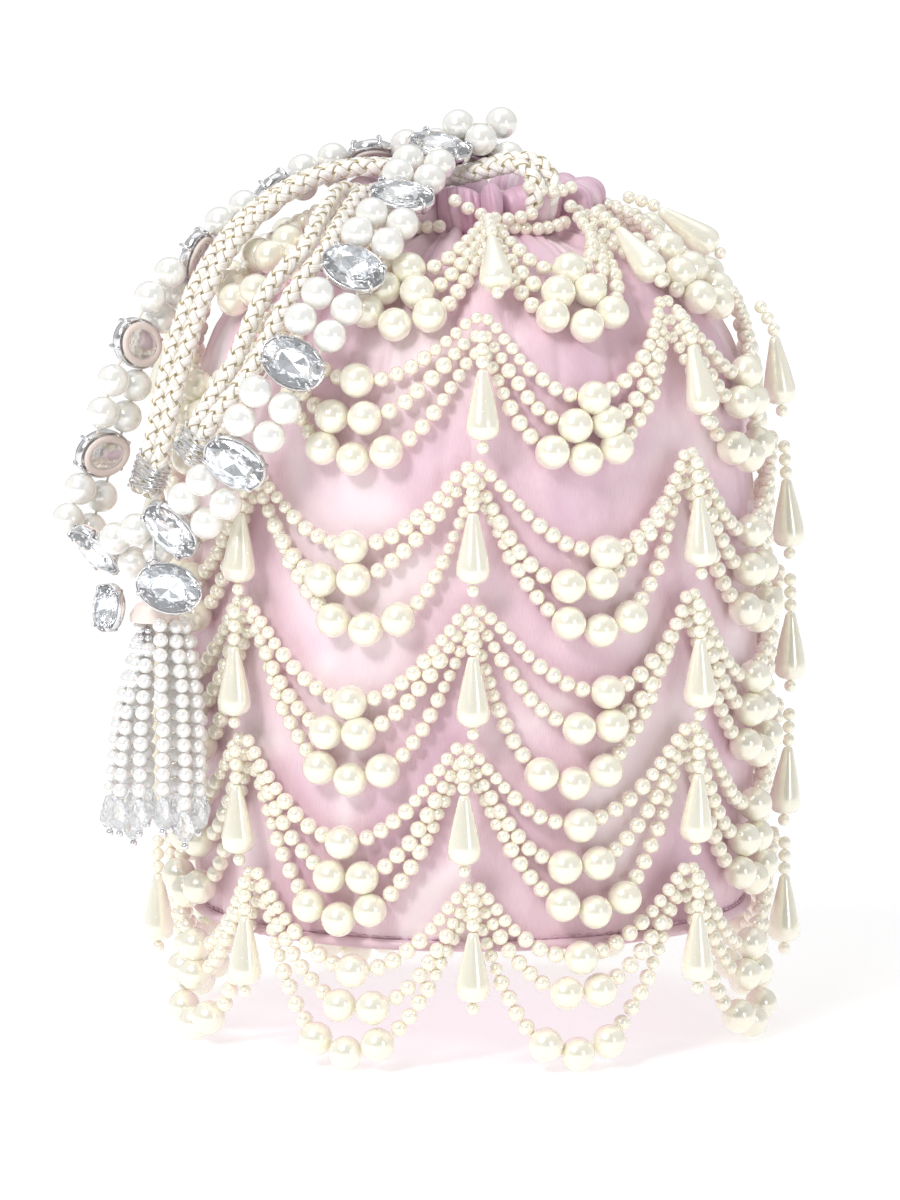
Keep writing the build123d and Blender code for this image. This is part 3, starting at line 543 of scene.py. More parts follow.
def crystal(name, tint=(0.985, 0.992, 1.0), rough=0.01, trans=0.9):
    m, nt, b = mat(name)
    tc = node(nt, "ShaderNodeTexCoord")
    n1 = node(nt, "ShaderNodeTexNoise")
    n1.inputs["Scale"].default_value = 300
    nt.links.new(tc.outputs["Object"], n1.inputs["Vector"])
    r = ramp(nt, [(0.2, tuple(0.97 * x for x in tint)), (0.8, tint)])
    nt.links.new(n1.outputs["Fac"], r.inputs[0])
    nt.links.new(r.outputs[0], b.inputs["Base Color"])
    b.inputs["Transmission Weight"].default_value = trans
    b.inputs["Roughness"].default_value = rough
    b.inputs["IOR"].default_value = 1.62
    b.inputs["Specular IOR Level"].default_value = 0.6
    # painted glow: a faint cool emission brightens facets that would otherwise reflect darker surroundings
    b.inputs["Emission Color"].default_value = (0.93, 0.96, 1.0, 1)
    b.inputs["Emission Strength"].default_value = 0.035
    return m


def matte(name, light, dark, rough=0.7, scale=700, bump=0.3, dist_=0.0002):
    m, nt, b = mat(name)
    tc = node(nt, "ShaderNodeTexCoord")
    n1 = node(nt, "ShaderNodeTexNoise")
    n1.inputs["Scale"].default_value = scale
    n1.inputs["Detail"].default_value = 5
    nt.links.new(tc.outputs["Object"], n1.inputs["Vector"])
    r = ramp(nt, [(0.3, dark), (0.7, light)])
    nt.links.new(n1.outputs["Fac"], r.inputs[0])
    nt.links.new(r.outputs[0], b.inputs["Base Color"])
    bp = node(nt, "ShaderNodeBump")
    bp.inputs["Strength"].default_value = bump
    bp.inputs["Distance"].default_value = dist_
    nt.links.new(n1.outputs["Fac"], bp.inputs["Height"])
    nt.links.new(bp.outputs[0], b.inputs["Normal"])
    b.inputs["Roughness"].default_value = rough
    return m


def braid_mat(name):
    """Cream satin strands with gold thread along their edges."""
    m, nt, b = mat(name)
    uv = node(nt, "ShaderNodeUVMap")
    sep = node(nt, "ShaderNodeSeparateXYZ")
    nt.links.new(uv.outputs[0], sep.inputs[0])
    mp = node(nt, "ShaderNodeMapping")
    mp.inputs["Scale"].default_value = (380, 22, 1)
    nt.links.new(uv.outputs[0], mp.inputs[0])
    n1 = node(nt, "ShaderNodeTexNoise")
    n1.inputs["Scale"].default_value = 1.0
    n1.inputs["Detail"].default_value = 3
    nt.links.new(mp.outputs[0], n1.inputs["Vector"])
    cream = ramp(nt, [(0.33, (0.66, 0.56, 0.43)), (0.43, (0.91, 0.88, 0.83)), (0.60, (0.98, 0.975, 0.955))])
    nt.links.new(n1.outputs["Fac"], cream.inputs[0])
    # gold where the way round the strand is near its edge, broken up along it
    tri = node(nt, "ShaderNodeMath", operation="PINGPONG")
    tri.inputs[1].default_value = 0.25
    nt.links.new(sep.outputs[1], tri.inputs[0])
    n2 = node(nt, "ShaderNodeTexNoise")
    mp2 = node(nt, "ShaderNodeMapping")
    mp2.inputs["Scale"].default_value = (700, 6, 1)
    nt.links.new(uv.outputs[0], mp2.inputs[0])
    nt.links.new(mp2.outputs[0], n2.inputs["Vector"])
    n2.inputs["Scale"].default_value = 1.0
    sub = node(nt, "ShaderNodeMath", operation="MULTIPLY_ADD")
    sub.inputs[1].default_value = 0.22
    nt.links.new(n2.outputs["Fac"], sub.inputs[0])
    nt.links.new(tri.outputs[0], sub.inputs[2])
    edge = ramp(nt, [(0.158, (1, 1, 1)), (0.190, (0, 0, 0))])
    nt.links.new(sub.outputs[0], edge.inputs[0])
    mixc = node(nt, "ShaderNodeMix", data_type="RGBA")
    nt.links.new(edge.outputs[0], mixc.inputs[0])
    nt.links.new(cream.outputs[0], mixc.inputs[6])
    mixc.inputs[7].default_value = (0.58, 0.48, 0.27, 1)
    nt.links.new(mixc.outputs[2], b.inputs["Base Color"])
    met = node(nt, "ShaderNodeMath", operation="MULTIPLY")
    met.inputs[1].default_value = 0.8
    nt.links.new(edge.outputs[0], met.inputs[0])
    nt.links.new(met.outputs[0], b.inputs["Metallic"])
    bp = node(nt, "ShaderNodeBump")
    bp.inputs["Strength"].default_value = 0.6
    bp.inputs["Distance"].default_value = 0.00025
    nt.links.new(n1.outputs["Fac"], bp.inputs["Height"])
    nt.links.new(bp.outputs[0], b.inputs["Normal"])
    b.inputs["Roughness"].default_value = 0.36
    # painted glow: a faint cream emission lifts the braid where it lies in shade
    b.inputs["Emission Color"].default_value = (1.0, 0.97, 0.92, 1)
    b.inputs["Emission Strength"].default_value = 0.06
    b.inputs["Sheen Weight"].default_value = 0.2
    b.inputs["Sheen Roughness"].default_value = 0.4
    return m


M_SATIN = satin("satin_pink", (0.900, 0.690, 0.775), (0.810, 0.575, 0.675), bump=0.4)
M_FRILL = satin("satin_pink_frill", (0.780, 0.535, 0.650), (0.640, 0.400, 0.520), bump=0.4)
M_LINING = satin("lining_pink", (0.70, 0.48, 0.58), (0.60, 0.40, 0.50), bump=0.15)
M_SEED = pearl("pearl_ivory_small", (0.985, 0.945, 0.825), (0.965, 0.905, 0.770), (1.0, 0.80, 0.62), rough=0.24)
M_IVORY = pearl("pearl_ivory", (0.985, 0.955, 0.830), (0.970, 0.930, 0.785), (1.0, 0.83, 0.62), rough=0.22, scale=90)
M_WHITE = pearl("pearl_white", (0.970, 0.970, 0.935), (0.950, 0.945, 0.905), (1.0, 0.92, 0.86), rough=0.22, scale=90)
M_TWHITE = pearl("pearl_cool_white", (0.955, 0.950, 0.945), (0.935, 0.925, 0.920), (1.0, 0.93, 0.93), rough=0.22)
M_SILVER = metal("silver_plate", (0.86, 0.86, 0.88), 0.16)
M_FOIL = metal("stone_foil", (0.97, 0.98, 1.0), 0.10, 0.04)
# painted glow: a faint emission on the foil brightens it beyond what its lighting gives
for nd in M_FOIL.node_tree.nodes:
    if nd.type == "BSDF_PRINCIPLED":
        nd.inputs["Emission Color"].default_value = (0.93, 0.96, 1.0, 1)
        nd.inputs["Emission Strength"].default_value = 0.05
M_CRYSTAL = crystal("crystal_clear", trans=1.0)
M_TCRYSTAL = crystal("crystal_tassel", rough=0.03, trans=0.8)
M_NUDE = matte("nude_leather", (0.97, 0.86, 0.81), (0.93, 0.80, 0.75), scale=1800, rough=0.5)
M_THREAD = matte("bead_thread", (0.88, 0.83, 0.74), (0.76, 0.70, 0.60), scale=4000)
M_BRAID = braid_mat("braid_cream_gold")
M_BOARD = matte("bag_board", (0.45, 0.36, 0.26), (0.38, 0.30, 0.21), scale=500)
M_STITCH = matte("stitch_thread", (0.80, 0.58, 0.67), (0.68, 0.46, 0.56), scale=5000)


def paint(ob, m):
    ob.data.materials.clear()
    ob.data.materials.append(m)
    return ob


def put(ob, body, material, slot, *nodes):
    paint(ob, material)
    if nodes:
        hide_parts(*nodes)
    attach(ob, body)
    return ob


for name, m in (("base_board", M_BOARD), ("base_cover", M_SATIN), ("base_lining", M_LINING), ("base_piping", M_SATIN),
                ("neck_drawstrings", M_THREAD), ("strap_threads", M_THREAD), ("tassel_eyelet", M_SILVER),
                ("tassel_ring", M_SILVER), ("tassel_cap", M_NUDE)):
    ob = NODES[name]
    ob.data.materials.clear()
    ob.data.materials.append(m)


# ----------------------------------------------------------------- camera
cam_data = bpy.data.cameras.new("camera")
cam = bpy.data.objects.new("camera", cam_data)
bpy.context.scene.collection.objects.link(cam)
cam.location = (0.0, -1.9593, 0.3827)
cam.rotation_euler = (math.radians(90 - 7.2355), 0, 0)
cam_data.sensor_fit = "VERTICAL"
cam_data.sensor_height = 36.0
cam_data.lens = 6719.43 / 1200 * 36
cam_data.shift_x = (450 - 471.18) / 1200
cam_data.shift_y = (567.13 - 600) / 1200
cam_data.clip_start = 0.05
cam_data.clip_end = 20
bpy.context.scene.camera = cam


# ------------------------------------------------------------------ cords
FRONT_A = [(-42.2, -37.0, 207.0), (-44.4, -44.6, 203.8), (-46.5, -52.0, 198.0), (-53.0, -56.5, 192.6), (-59.0, -58.5, 185.0),
           (-63.2, -61.0, 176.0), (-66.8, -64.2, 166.8), (-72.4, -63.6, 158.0), (-78.0, -61.6, 149.0), (-82.4, -60.4, 139.6)]
FRONT_B = [(-35.8, -43.2, 206.6), (-38.2, -50.6, 203.2), (-41.0, -58.0, 197.4), (-47.4, -63.0, 190.6), (-53.0, -65.4, 182.4),
           (-57.4, -67.6, 173.4), (-62.0, -70.4, 164.0), (-69.6, -69.6, 155.4), (-75.6, -67.0, 146.4), (-79.4, -65.4, 137.2)]
REAR_A = [(10.3, -16.6, 220.5), (4.6, -13.6, 219.0), (-4.0, -9.0, 215.2), (-15.0, -4.4, 217.0), (-28.0, -1.6, 218.6), (-41.0, -2.6, 217.2), (-54.0, -7.2, 212.4),
          (-67.5, -15.0, 203.0), (-78.6, -27.2, 188.0), (-85.4, -35.0, 170.0), (-89.0, -39.2, 154.0), (-92.0, -39.8, 139.0), (-96.0, -39.2, 126.5)]
REAR_B = [(10.3, -24.0, 219.9), (3.6, -20.0, 217.8), (-6.4, -14.6, 215.0), (-17.0, -10.2, 217.0), (-29.0, -7.6, 218.4), (-41.0, -8.6, 217.0), (-52.4, -13.0, 212.0),
          (-65.2, -20.6, 202.2), (-75.4, -32.4, 187.0), (-81.6, -40.2, 168.4), (-85.6, -44.4, 153.0), (-88.4, -45.4, 138.0), (-92.0, -44.6, 125.6)]
NECK_RUN_A = [(20.6, -24.6, 206.0), (24.4, -26.6, 211.6), (22.4, -23.8, 218.0), (18.0, -20.2, 221.0), (13.7, -18.2, 220.9)]
NECK_RUN_B = [(15.6, -28.0, 206.0), (19.4, -31.4, 211.0), (18.0, -29.4, 217.2), (13.7, -26.2, 220.0)]
FRONT_RUN_A = [(-26.0, -14.5, 206.6), (-32.6, -18.4, 212.2), (-38.8, -25.0, 212.8), (-41.2, -33.4, 208.8)]
FRONT_RUN_B = [(-21.8, -19.6, 206.6), (-27.2, -25.8, 212.0), (-31.6, -32.2, 212.4), (-34.6, -39.8, 208.4)]


def nurbs_line(name, route):
    """Points of the smooth line through a cord's route, in metres."""
    cu = bpy.data.curves.new(name, "CURVE")
    cu.dimensions = "3D"
    sp = cu.splines.new("NURBS")
    sp.points.add(len(route) - 1)
    for p, (x, y, z) in zip(sp.points, route):
        p.co = (x * MM, y * MM, (z + ZB) * MM, 1)
    sp.order_u = 3
    sp.use_endpoint_u = True
    cu.resolution_u = 14
    ob = bpy.data.objects.new(name, cu)
    bpy.context.scene.collection.objects.link(ob)
    bpy.context.view_layer.update()
    me = bpy.data.meshes.new_from_object(ob)
    pts = [v.co.copy() for v in me.vertices]
    bpy.data.objects.remove(ob)
    bpy.data.curves.remove(cu)
    bpy.data.meshes.remove(me)
    return pts


def resample(pts, step):
    run = [0.0]
    for a, b in zip(pts, pts[1:]):
        run.append(run[-1] + (b - a).length)
    n = max(8, int(run[-1] / step))
    out, m = [], 0
    for i in range(n + 1):
        w = run[-1] * i / n
        while m < len(run) - 2 and run[m + 1] < w:
            m += 1
        t = (w - run[m]) / max(run[m + 1] - run[m], 1e-12)
        out.append(pts[m].lerp(pts[m + 1], min(t, 1)))
    return out, run[-1]


def frames_along(pts):
    tans = []
    for i in range(len(pts)):
        a, b = pts[max(i - 1, 0)], pts[min(i + 1, len(pts) - 1)]
        tans.append((b - a).normalized())
    ref = Vector((0, 0, 1)) if abs(tans[0].z) < 0.9 else Vector((1, 0, 0))
    n = (ref - tans[0] * ref.dot(tans[0])).normalized()
    out = []
    for t in tans:
        n = (n - t * n.dot(t)).normalized()
        out.append((t, n, t.cross(n)))
    return out


def braid(name, route, phase=0.0):
    """Round braid of six flat strands round one line, and the line itself."""
    line = nurbs_line(name + "_line", route)
    pts, length = resample(line, 0.00055)
    fr = frames_along(pts)
    N, LAY = 3, 0.0150
    R0, A = 0.00178, 0.00036
    W, T = 0.00128, 0.00066      # half width and half thickness of a strand
    K = 10
    V, F, UV = [], [], []
    step = length / (len(pts) - 1)
    for way in (1, -1):
        for q in range(N):
            base = len(V)
            for i, (p, (t, n, b)) in enumerate(zip(pts, fr)):
                s = i * step
                om = 2 * math.pi * s / LAY
                a = way * om + 2 * math.pi * q / N + phase
                r = R0 + way * A * math.cos(N * om)
                # the ends draw in to close the braid
                end = min(1.0, (min(s, length - s) + 0.0004) / 0.0012)
                r *= end
                out = n * math.cos(a) + b * math.sin(a)
                side = b * math.cos(a) - n * math.sin(a)
                lay = math.atan2(way * 2 * math.pi * R0, LAY)
                wide = side * math.cos(lay) - t * math.sin(lay)
                c = p + out * r
                for m in range(K):
                    g = 2 * math.pi * m / K
                    V.append(c + wide * (W * end * math.cos(g)) + out * (T * end * math.sin(g) * (1.0 + 0.1 * math.cos(2 * g))))
                    UV.append((s, m / K))
            for i in range(len(pts) - 1):
                for m in range(K):
                    a0 = base + i * K + m
                    a1 = base + i * K + (m + 1) % K
                    F.append((a0, a1, a1 + K, a0 + K))
            F.append(tuple(base + m for m in reversed(range(K))))
            F.append(tuple(base + (len(pts) - 1) * K + m for m in range(K)))
    ob = make_mesh(name, np.array([tuple(v) for v in V]) / MM, F, uv=UV)
    return ob, line, length


cords = {}
for name, route, nodes, ph in (
        ("braid_front_a", FRONT_RUN_A + FRONT_A, ("front_cord_a",), 0.0),
        ("braid_front_b", FRONT_RUN_B + FRONT_B, ("front_cord_b", "front_cord_neck_run"), 0.9),
        ("braid_rear_a", NECK_RUN_A + REAR_A, ("rear_cord_a",), 0.4),
        ("braid_rear_b", NECK_RUN_B + REAR_B, ("rear_cord_b", "rear_cord_neck_run"), 1.5)):
    ob, line, length = braid(name, route, ph)
    paint(ob, M_BRAID)
    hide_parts(*nodes)
    if "front" in name:
        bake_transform(ob)
    else:
        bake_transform(ob)
    cords[name] = (line, length)
    print("cord", name, round(length, 4))


def wound_wire(name, ra, rb, m, turns, span, nodename):
    """Fine wire wound round two cords that lie side by side."""
    a0, a1 = Vector(ra[m]), Vector(ra[m + 1])
    b0, b1 = Vector(rb[m]), Vector(rb[m + 1])
    along = ((a1 - a0) + (b1 - b0)).normalized()
    pa, pb = (a0 + a1) * 0.5, (b0 + b1) * 0.5
    mid = (pa + pb) * 0.5 + Vector((0, 0, ZB))
    across = (pb - pa)
    half = across.length / 2
    x = (across - along * across.dot(along)).normalized()
    y = along.cross(x)
    R = CORD_D / 2 + 0.35
    parts = []
    for direction in (1, -1):
        pts = []
        total = int(turns * 40)
        per = 4 * half + 2 * math.pi * R
        for i in range(total + 1):
            w = (i / 40 % 1.0) * per
            if w < 2 * half:
                c = x * (-half + w) + y * R
            elif w < 2 * half + math.pi * R:
                g = math.pi / 2 - (w - 2 * half) / R
                c = x * (half + R * math.cos(g)) + y * (R * math.sin(g))
            elif w < 4 * half + math.pi * R:
                c = x * (half - (w - 2 * half - math.pi * R)) - y * R
            else:
                g = -math.pi / 2 - (w - 4 * half - math.pi * R) / R
                c = x * (-half + R * math.cos(g)) + y * (R * math.sin(g))
            turn = i // 40
            sway = 0.5 * math.sin(i * 0.13 + direction) + 1.5 * noise(turn, direction, m) * math.sin(2 * math.pi * (i % 40) / 40 + turn)
            pts.append(mid + c * (1.0 + 0.03 * direction) + along * (direction * (-span / 2 + span * i / total) + sway))
        fr = frames_along(pts)
        V, F, K, rad = [], [], 6, 0.28
        for p, (t, n, b) in zip(pts, fr):
            for g in range(K):
                a = 2 * math.pi * g / K
                V.append(tuple(p + n * (rad * math.cos(a)) + b * (rad * math.sin(a))))
        for i in range(len(pts) - 1):
            for g in range(K):
                q0, q1 = i * K + g, i * K + (g + 1) % K
                F.append((q0, q1, q1 + K, q0 + K))
        F.append(tuple(reversed(range(K))))
        F.append(tuple((len(pts) - 1) * K + g for g in range(K)))
        parts.append((V, F))
    V, F = joined(parts)
    return put(make_mesh(name, V, F), "wrist_loop", M_SILVER, "silver", nodename)


wound_wire("wire_front", FRONT_A, FRONT_B, 8, 6, 7.5, "front_wire_binding")
wound_wire("wire_rear", REAR_A, REAR_B, 11, 6, 8.5, "rear_wire_binding")


# ------------------------------------------------------------- satin pouch
def wall_rows():
    rows = []
    for pts, start, end, n in ((SHOULDER, SHOULDER[0], SHOULDER[2], 62), (WALL, WALL[2], WALL[0], 92)):
        ux, uy, r = circle3(*pts)
        a0 = math.atan2(start[1] - uy, start[0] - ux)
        a1 = math.atan2(end[1] - uy, end[0] - ux)
        for i in range(n + 1):
            if rows and i == 0:
                continue
            a = a0 + (a1 - a0) * i / n
            rows.append((ux + r * math.cos(a), max(uy + r * math.sin(a), 0.25), math.cos(a), math.sin(a)))
    rows = np.array(rows)
    s = np.concatenate([[0], np.cumsum(np.hypot(np.diff(rows[:, 0]), np.diff(rows[:, 1])))])
    return s, rows


def satin_depth(phi, s, z, R):
    """How far the cloth stands off its smooth profile, in mm."""
    w1 = np.abs(np.sin(9 * phi + 0.9 * np.sin(3 * phi + 1.0) + 0.6 * np.sin(5 * phi) + 0.006 * s))
    w2 = np.abs(np.sin(21 * phi + 1.2 * np.sin(4 * phi + 2.0) - 0.010 * s))
    w3 = np.abs(np.sin(14 * phi + 1.0 * np.sin(2 * phi + 0.5) + 0.012 * s))
    g1 = np.exp(-((s / 62.0) ** 2))
    g2 = np.exp(-s / 17.0)
    d = -2.6 * g1 * (1 - w1) ** 2.2 - 1.7 * g2 * (1 - w2) ** 1.6 - 1.3 * np.exp(-((s / 78.0) ** 4)) * (1 - w3) ** 3
    d += 0.5 * g1 * w1
    # soft stand of the cloth on the wall
    wall = 1 - np.exp(-((s / 60.0) ** 2))
    x = phi * 82.0
    for a, kx, kz, p in ((0.42, 7, 0.020, 0.3), (0.36, 10, -0.035, 1.9), (0.30, 15, 0.050, 4.0), (0.26, 4, 0.085, 2.2),
                         (0.20, 22, -0.030, 0.9), (0.16, 12, 0.12, 5.1), (0.12, 31, 0.09, 3.3)):
        bend = 0.6 * np.sin(2 * phi + 0.03 * z + p) + 0.4 * np.sin(5 * phi - 0.05 * z)
        d += wall * a * (np.abs(np.sin(kx * phi + kz * z + p + bend)) ** 0.8 - 0.80)
    # each tack pulls a small dimple with folds running from it
    for tier in range(1, 7):
        for j in range(N_SWAGS):
            side, sa = apex(tier, j)
            if tier == 6:
                r6, z6, _, _ = surf(sa)
            ra, za, _, _ = surf(sa)
            pa = j * 2 * math.pi / N_SWAGS + side / max(ra, 40.0)
            dx = ((phi - pa + math.pi) % (2 * math.pi) - math.pi) * R
            dz = s - sa
            rr = np.hypot(dx, dz) + 1e-6
            near = rr < 34
            th = np.arctan2(dz, dx)
            pull = -0.85 * np.exp(-((rr / 4.5) ** 2))
            rays = 0.75 * (np.abs(np.sin(2.5 * th + 0.7 * j + tier)) ** 0.7 - 0.85) * np.exp(-((rr / 20.0) ** 2)) * rr / (rr + 3.0)
            d += np.where(near, pull + rays, 0.0)
    # side seams, and puckers into the base seam
    for ps in (math.pi / 2, 3 * math.pi / 2):
        dx = (phi - ps) * R
        d -= 0.7 * np.exp(-((dx / 0.7) ** 2))
        d -= 0.25 * np.exp(-((dx / 4.0) ** 2)) * np.abs(np.sin(z * 0.5))
    d += 0.22 * np.exp(-z / 4.0) * np.sin(phi * 96) - 0.5 * np.exp(-((z - 3.6) / 0.8) ** 2)
    return np.clip(d, -3.4, 0.62)


def shell(name, inset, nphi, damp=1.0):
    s, rows = wall_rows()
    phi = np.linspace(0, 2 * math.pi, nphi, endpoint=False)
    P, S = np.meshgrid(phi, s)
    R = np.repeat(rows[:, 0][:, None], nphi, 1)
    Z = np.repeat(rows[:, 1][:, None], nphi, 1)
    NR = np.repeat(rows[:, 2][:, None], nphi, 1)
    NZ = np.repeat(rows[:, 3][:, None], nphi, 1)
    d = satin_depth(P, S, Z, R) * damp - inset
    rr, zz = R + d * NR, Z + d * NZ
    zz = np.maximum(zz, 0.15)
    V = np.stack([rr * np.sin(P), -rr * np.cos(P), zz + ZB], -1).reshape(-1, 3)
    n = len(s)
    i = np.arange((n - 1) * nphi)
    r, c = i // nphi, i % nphi
    a, b = r * nphi + c, r * nphi + (c + 1) % nphi
    F = np.stack([a, a + nphi, b + nphi, b], 1)
    me_uv = np.stack([P.ravel() * 0.082, S.ravel() * MM], 1)
    ob = make_mesh(name, V, F)
    layer = ob.data.uv_layers.new(name="UVMap")
    u = np.stack([np.stack([me_uv[F[:, q]][:, 0], me_uv[F[:, q]][:, 1]], 1) for q in range(4)], 1)
    wrap = (c == nphi - 1)
    u[wrap, 2, 0] += 2 * math.pi * 0.082
    u[wrap, 3, 0] += 2 * math.pi * 0.082
    layer.data.foreach_set("uv", u.ravel())
    return ob


def area_of(ob):
    return sum(p.area for p in ob.data.polygons)


pouch = shell("satin_pouch", 0.0, 560)
put(pouch, "pouch", M_SATIN, "satin", "outer_front_panel", "outer_back_panel")
ap = area_of(pouch)
lining = shell("pouch_lining", 3.6, 280, 0.6)
put(lining, "pouch", M_LINING, "lining", "body_lining")
print("pouch cloth area", round(ap, 4), "lining", round(area_of(lining), 4))

# frill: soft satin lobes with deep tucks, cinched by the drawstrings
LOBE = [(29.6, 198.4), (32.4, 200.4), (34.8, 203.6), (36.2, 207.2), (36.3, 210.6), (34.9, 213.4), (31.9, 214.9), (28.4, 214.2),
        (25.6, 211.6), (23.9, 208.0), (23.1, 203.6), (23.2, 199.0)]
CLEFT = [(28.7, 198.6), (29.3, 200.6), (29.3, 203.2), (29.2, 206.0), (29.0, 208.3), (28.3, 210.0), (27.3, 210.5), (26.2, 209.9),
         (25.0, 208.3), (24.0, 206.0), (23.2, 203.0), (23.2, 199.2)]


def smooth_profile(pts, n):
    out, m = [], len(pts)
    for i in range(n):
        x = i / (n - 1) * (m - 1)
        q = min(int(x), m - 2)
        t = x - q
        p = [pts[max(0, min(m - 1, q + o))] for o in (-1, 0, 1, 2)]
        out.append(tuple(0.5 * (2 * b + (-a + c) * t + (2 * a - 5 * b + 4 * c - d) * t * t + (-a + 3 * b - 3 * c + d) * t ** 3)
                         for a, b, c, d in zip(*p)))
    return np.array(out)


def frill_mesh():
    nphi, rows = 900, 56
    L, C = smooth_profile(LOBE, rows), smooth_profile(CLEFT, rows)
    cuts = []
    n = 15
    for i in range(n):
        cuts.append((i + 0.32 * noise(i, 5, 6)) * 2 * math.pi / n)
    V, UV = [], []
    for r in range(rows):
        v = r / (rows - 1)
        for c in range(nphi):
            phi = 2 * math.pi * c / nphi
            q = max((i for i in range(n) if cuts[i] <= phi), default=n - 1)
            a = cuts[q]
            b = cuts[(q + 1) % n]
            if b <= a:
                b += 2 * math.pi
            ph = phi if phi >= a else phi + 2 * math.pi
            t = (ph - a) / (b - a)
            t = min(max(t, 0.0), 1.0)
            skew = 0.5 + 0.13 * noise(q, 8, 9)
            tt = t ** (math.log(0.5) / math.log(skew))
            f = math.sin(math.pi * tt) ** 0.42
            size = 1.0 + 0.10 * noise(q, 1, 2)
            tall = 1.0 + 0.07 * noise(q, 3, 4)
            # a tuck runs down each lobe
            tuck = 0.10 * math.exp(-(((t - (0.5 + 0.22 * noise(q, 6, 1))) / 0.07) ** 2)) * math.sin(math.pi * min(1, v * 1.3)) ** 2
            R = C[r][0] + (L[r][0] * size - C[r][0]) * (f - tuck)
            Z = C[r][1] + (199 + (L[r][1] - 199) * tall - C[r][1]) * (f - tuck)
            # creases in the cloth
            R += 0.22 * math.sin(phi * 60 + 3 * v + 2 * math.sin(phi * 9)) * math.sin(math.pi * v)
            R += 0.95 * (abs(math.sin(phi * 26 + 3.5 * v + 2.5 * math.sin(phi * 7))) ** 0.55 - 0.75) * math.sin(math.pi * v) ** 0.7
            lean = 0.075 * noise(q, 2, 7) * (Z - 200) / 14 * f
            a2 = phi + lean
            V.append((R * math.sin(a2), -R * math.cos(a2), Z + ZB))
            UV.append((phi * 0.082, 0.05 * v))
    F = []
    for r in range(rows - 1):
        for c in range(nphi):
            a, b = r * nphi + c, r * nphi + (c + 1) % nphi
            F.append((a, b, b + nphi, a + nphi))
    return make_mesh("satin_frill", V, F, uv=UV)


frill = frill_mesh()
put(frill, "pouch", M_FRILL, "satin", "drawstring_channel", "mouth_frill")

# stitches above the base seam
st = []
for i in range(146):
    a = 2 * math.pi * i / 146
    R = 80.5 + 0.35
    c = np.array((R * math.sin(a), -R * math.cos(a), ZB + 3.7 + 0.12 * noise(i, 1, 1)))
    t = np.array((math.cos(a), math.sin(a), 0.03 * noise(i, 2, 2)))
    nrm = np.array((math.sin(a), -math.cos(a), 0))
    v, f = SPH[4]
    st.append((v[:, :1] * t * 1.15 + v[:, 1:2] * nrm * 0.28 + v[:, 2:3] * np.array((0, 0, 0.28)) + c, f))
V, F = joined(st)
put(make_mesh("base_stitches", V, F), "pouch", M_STITCH, "satin")

# --------------------------------------------------------------- the swags
DROP_PROF = [(0, 10.0), (1.0, 9.95), (1.45, 9.5), (1.75, 8.4), (2.2, 6.4), (2.75, 4.2), (3.3, 1.9), (3.8, -0.4), (4.25, -2.6),
             (4.6, -4.4), (4.8, -5.9), (4.72, -7.1), (4.3, -8.3), (3.5, -9.2), (2.3, -9.75), (1.0, -9.97), (0, -10.0)]
dv, df = revolve_pts(DROP_PROF, 22)


def drop_pieces(tier, j):
    side, s_a = apex(tier, j)
    phi0 = j * 2 * math.pi / N_SWAGS
    steps = (0.0, 3.85, 7.7, 19.7, 31.6)
    if tier == 6:
        r, z, nr, nz = surf(s_a + 3.2)
        rz = [(r + DROP_R_LIFT, z - d) for d in steps]
        t = (0.0, -1.0)
    else:
        def hung(s):
            r, z, nr, nz = surf(s)
            return (r + DROP_R_LIFT * nr, z + DROP_R_LIFT * nz), (nz, -nr)
        c0, t = hung(s_a + 3.2 + steps[3])
        top = (c0[0] - t[0] * 12.0, c0[1] - t[1] * 12.0)
        rz, q, s_q = [top], top, s_a + 3.2 + steps[2]
        for _ in range(2):
            s_q -= 3.85
            back = hung(s_q)[1]
            q = (q[0] - back[0] * 3.85, q[1] - back[1] * 3.85)
            rz.insert(0, q)
        rz += [c0, (c0[0] + t[0] * 11.9, c0[1] + t[1] * 11.9)]
    phi = phi0 + side / max(rz[0][0], 40.0)

    def spot(q):
        return (q[0] * math.sin(phi), -q[0] * math.cos(phi), q[1] + ZB)
    chain = [(spot(q), CHAIN_D) for q in rz[:3]]
    tail = [(spot(rz[4]), TAIL_D)]
    up = Vector((-t[0] * math.sin(phi), t[0] * math.cos(phi), -t[1]))
    x = Vector((math.cos(phi), math.sin(phi), 0))
    y = up.cross(x)
    body = place(dv, spot(rz[3]), x, y, up)
    return chain, (body, df), tail


def chain_seeds(pos):
    return balls_part(pos, 5)


def balls_part(items, n):
    sv, sf = SPH[n]
    return [(sv * (d / 2) + np.array(c), sf) for c, d in items]


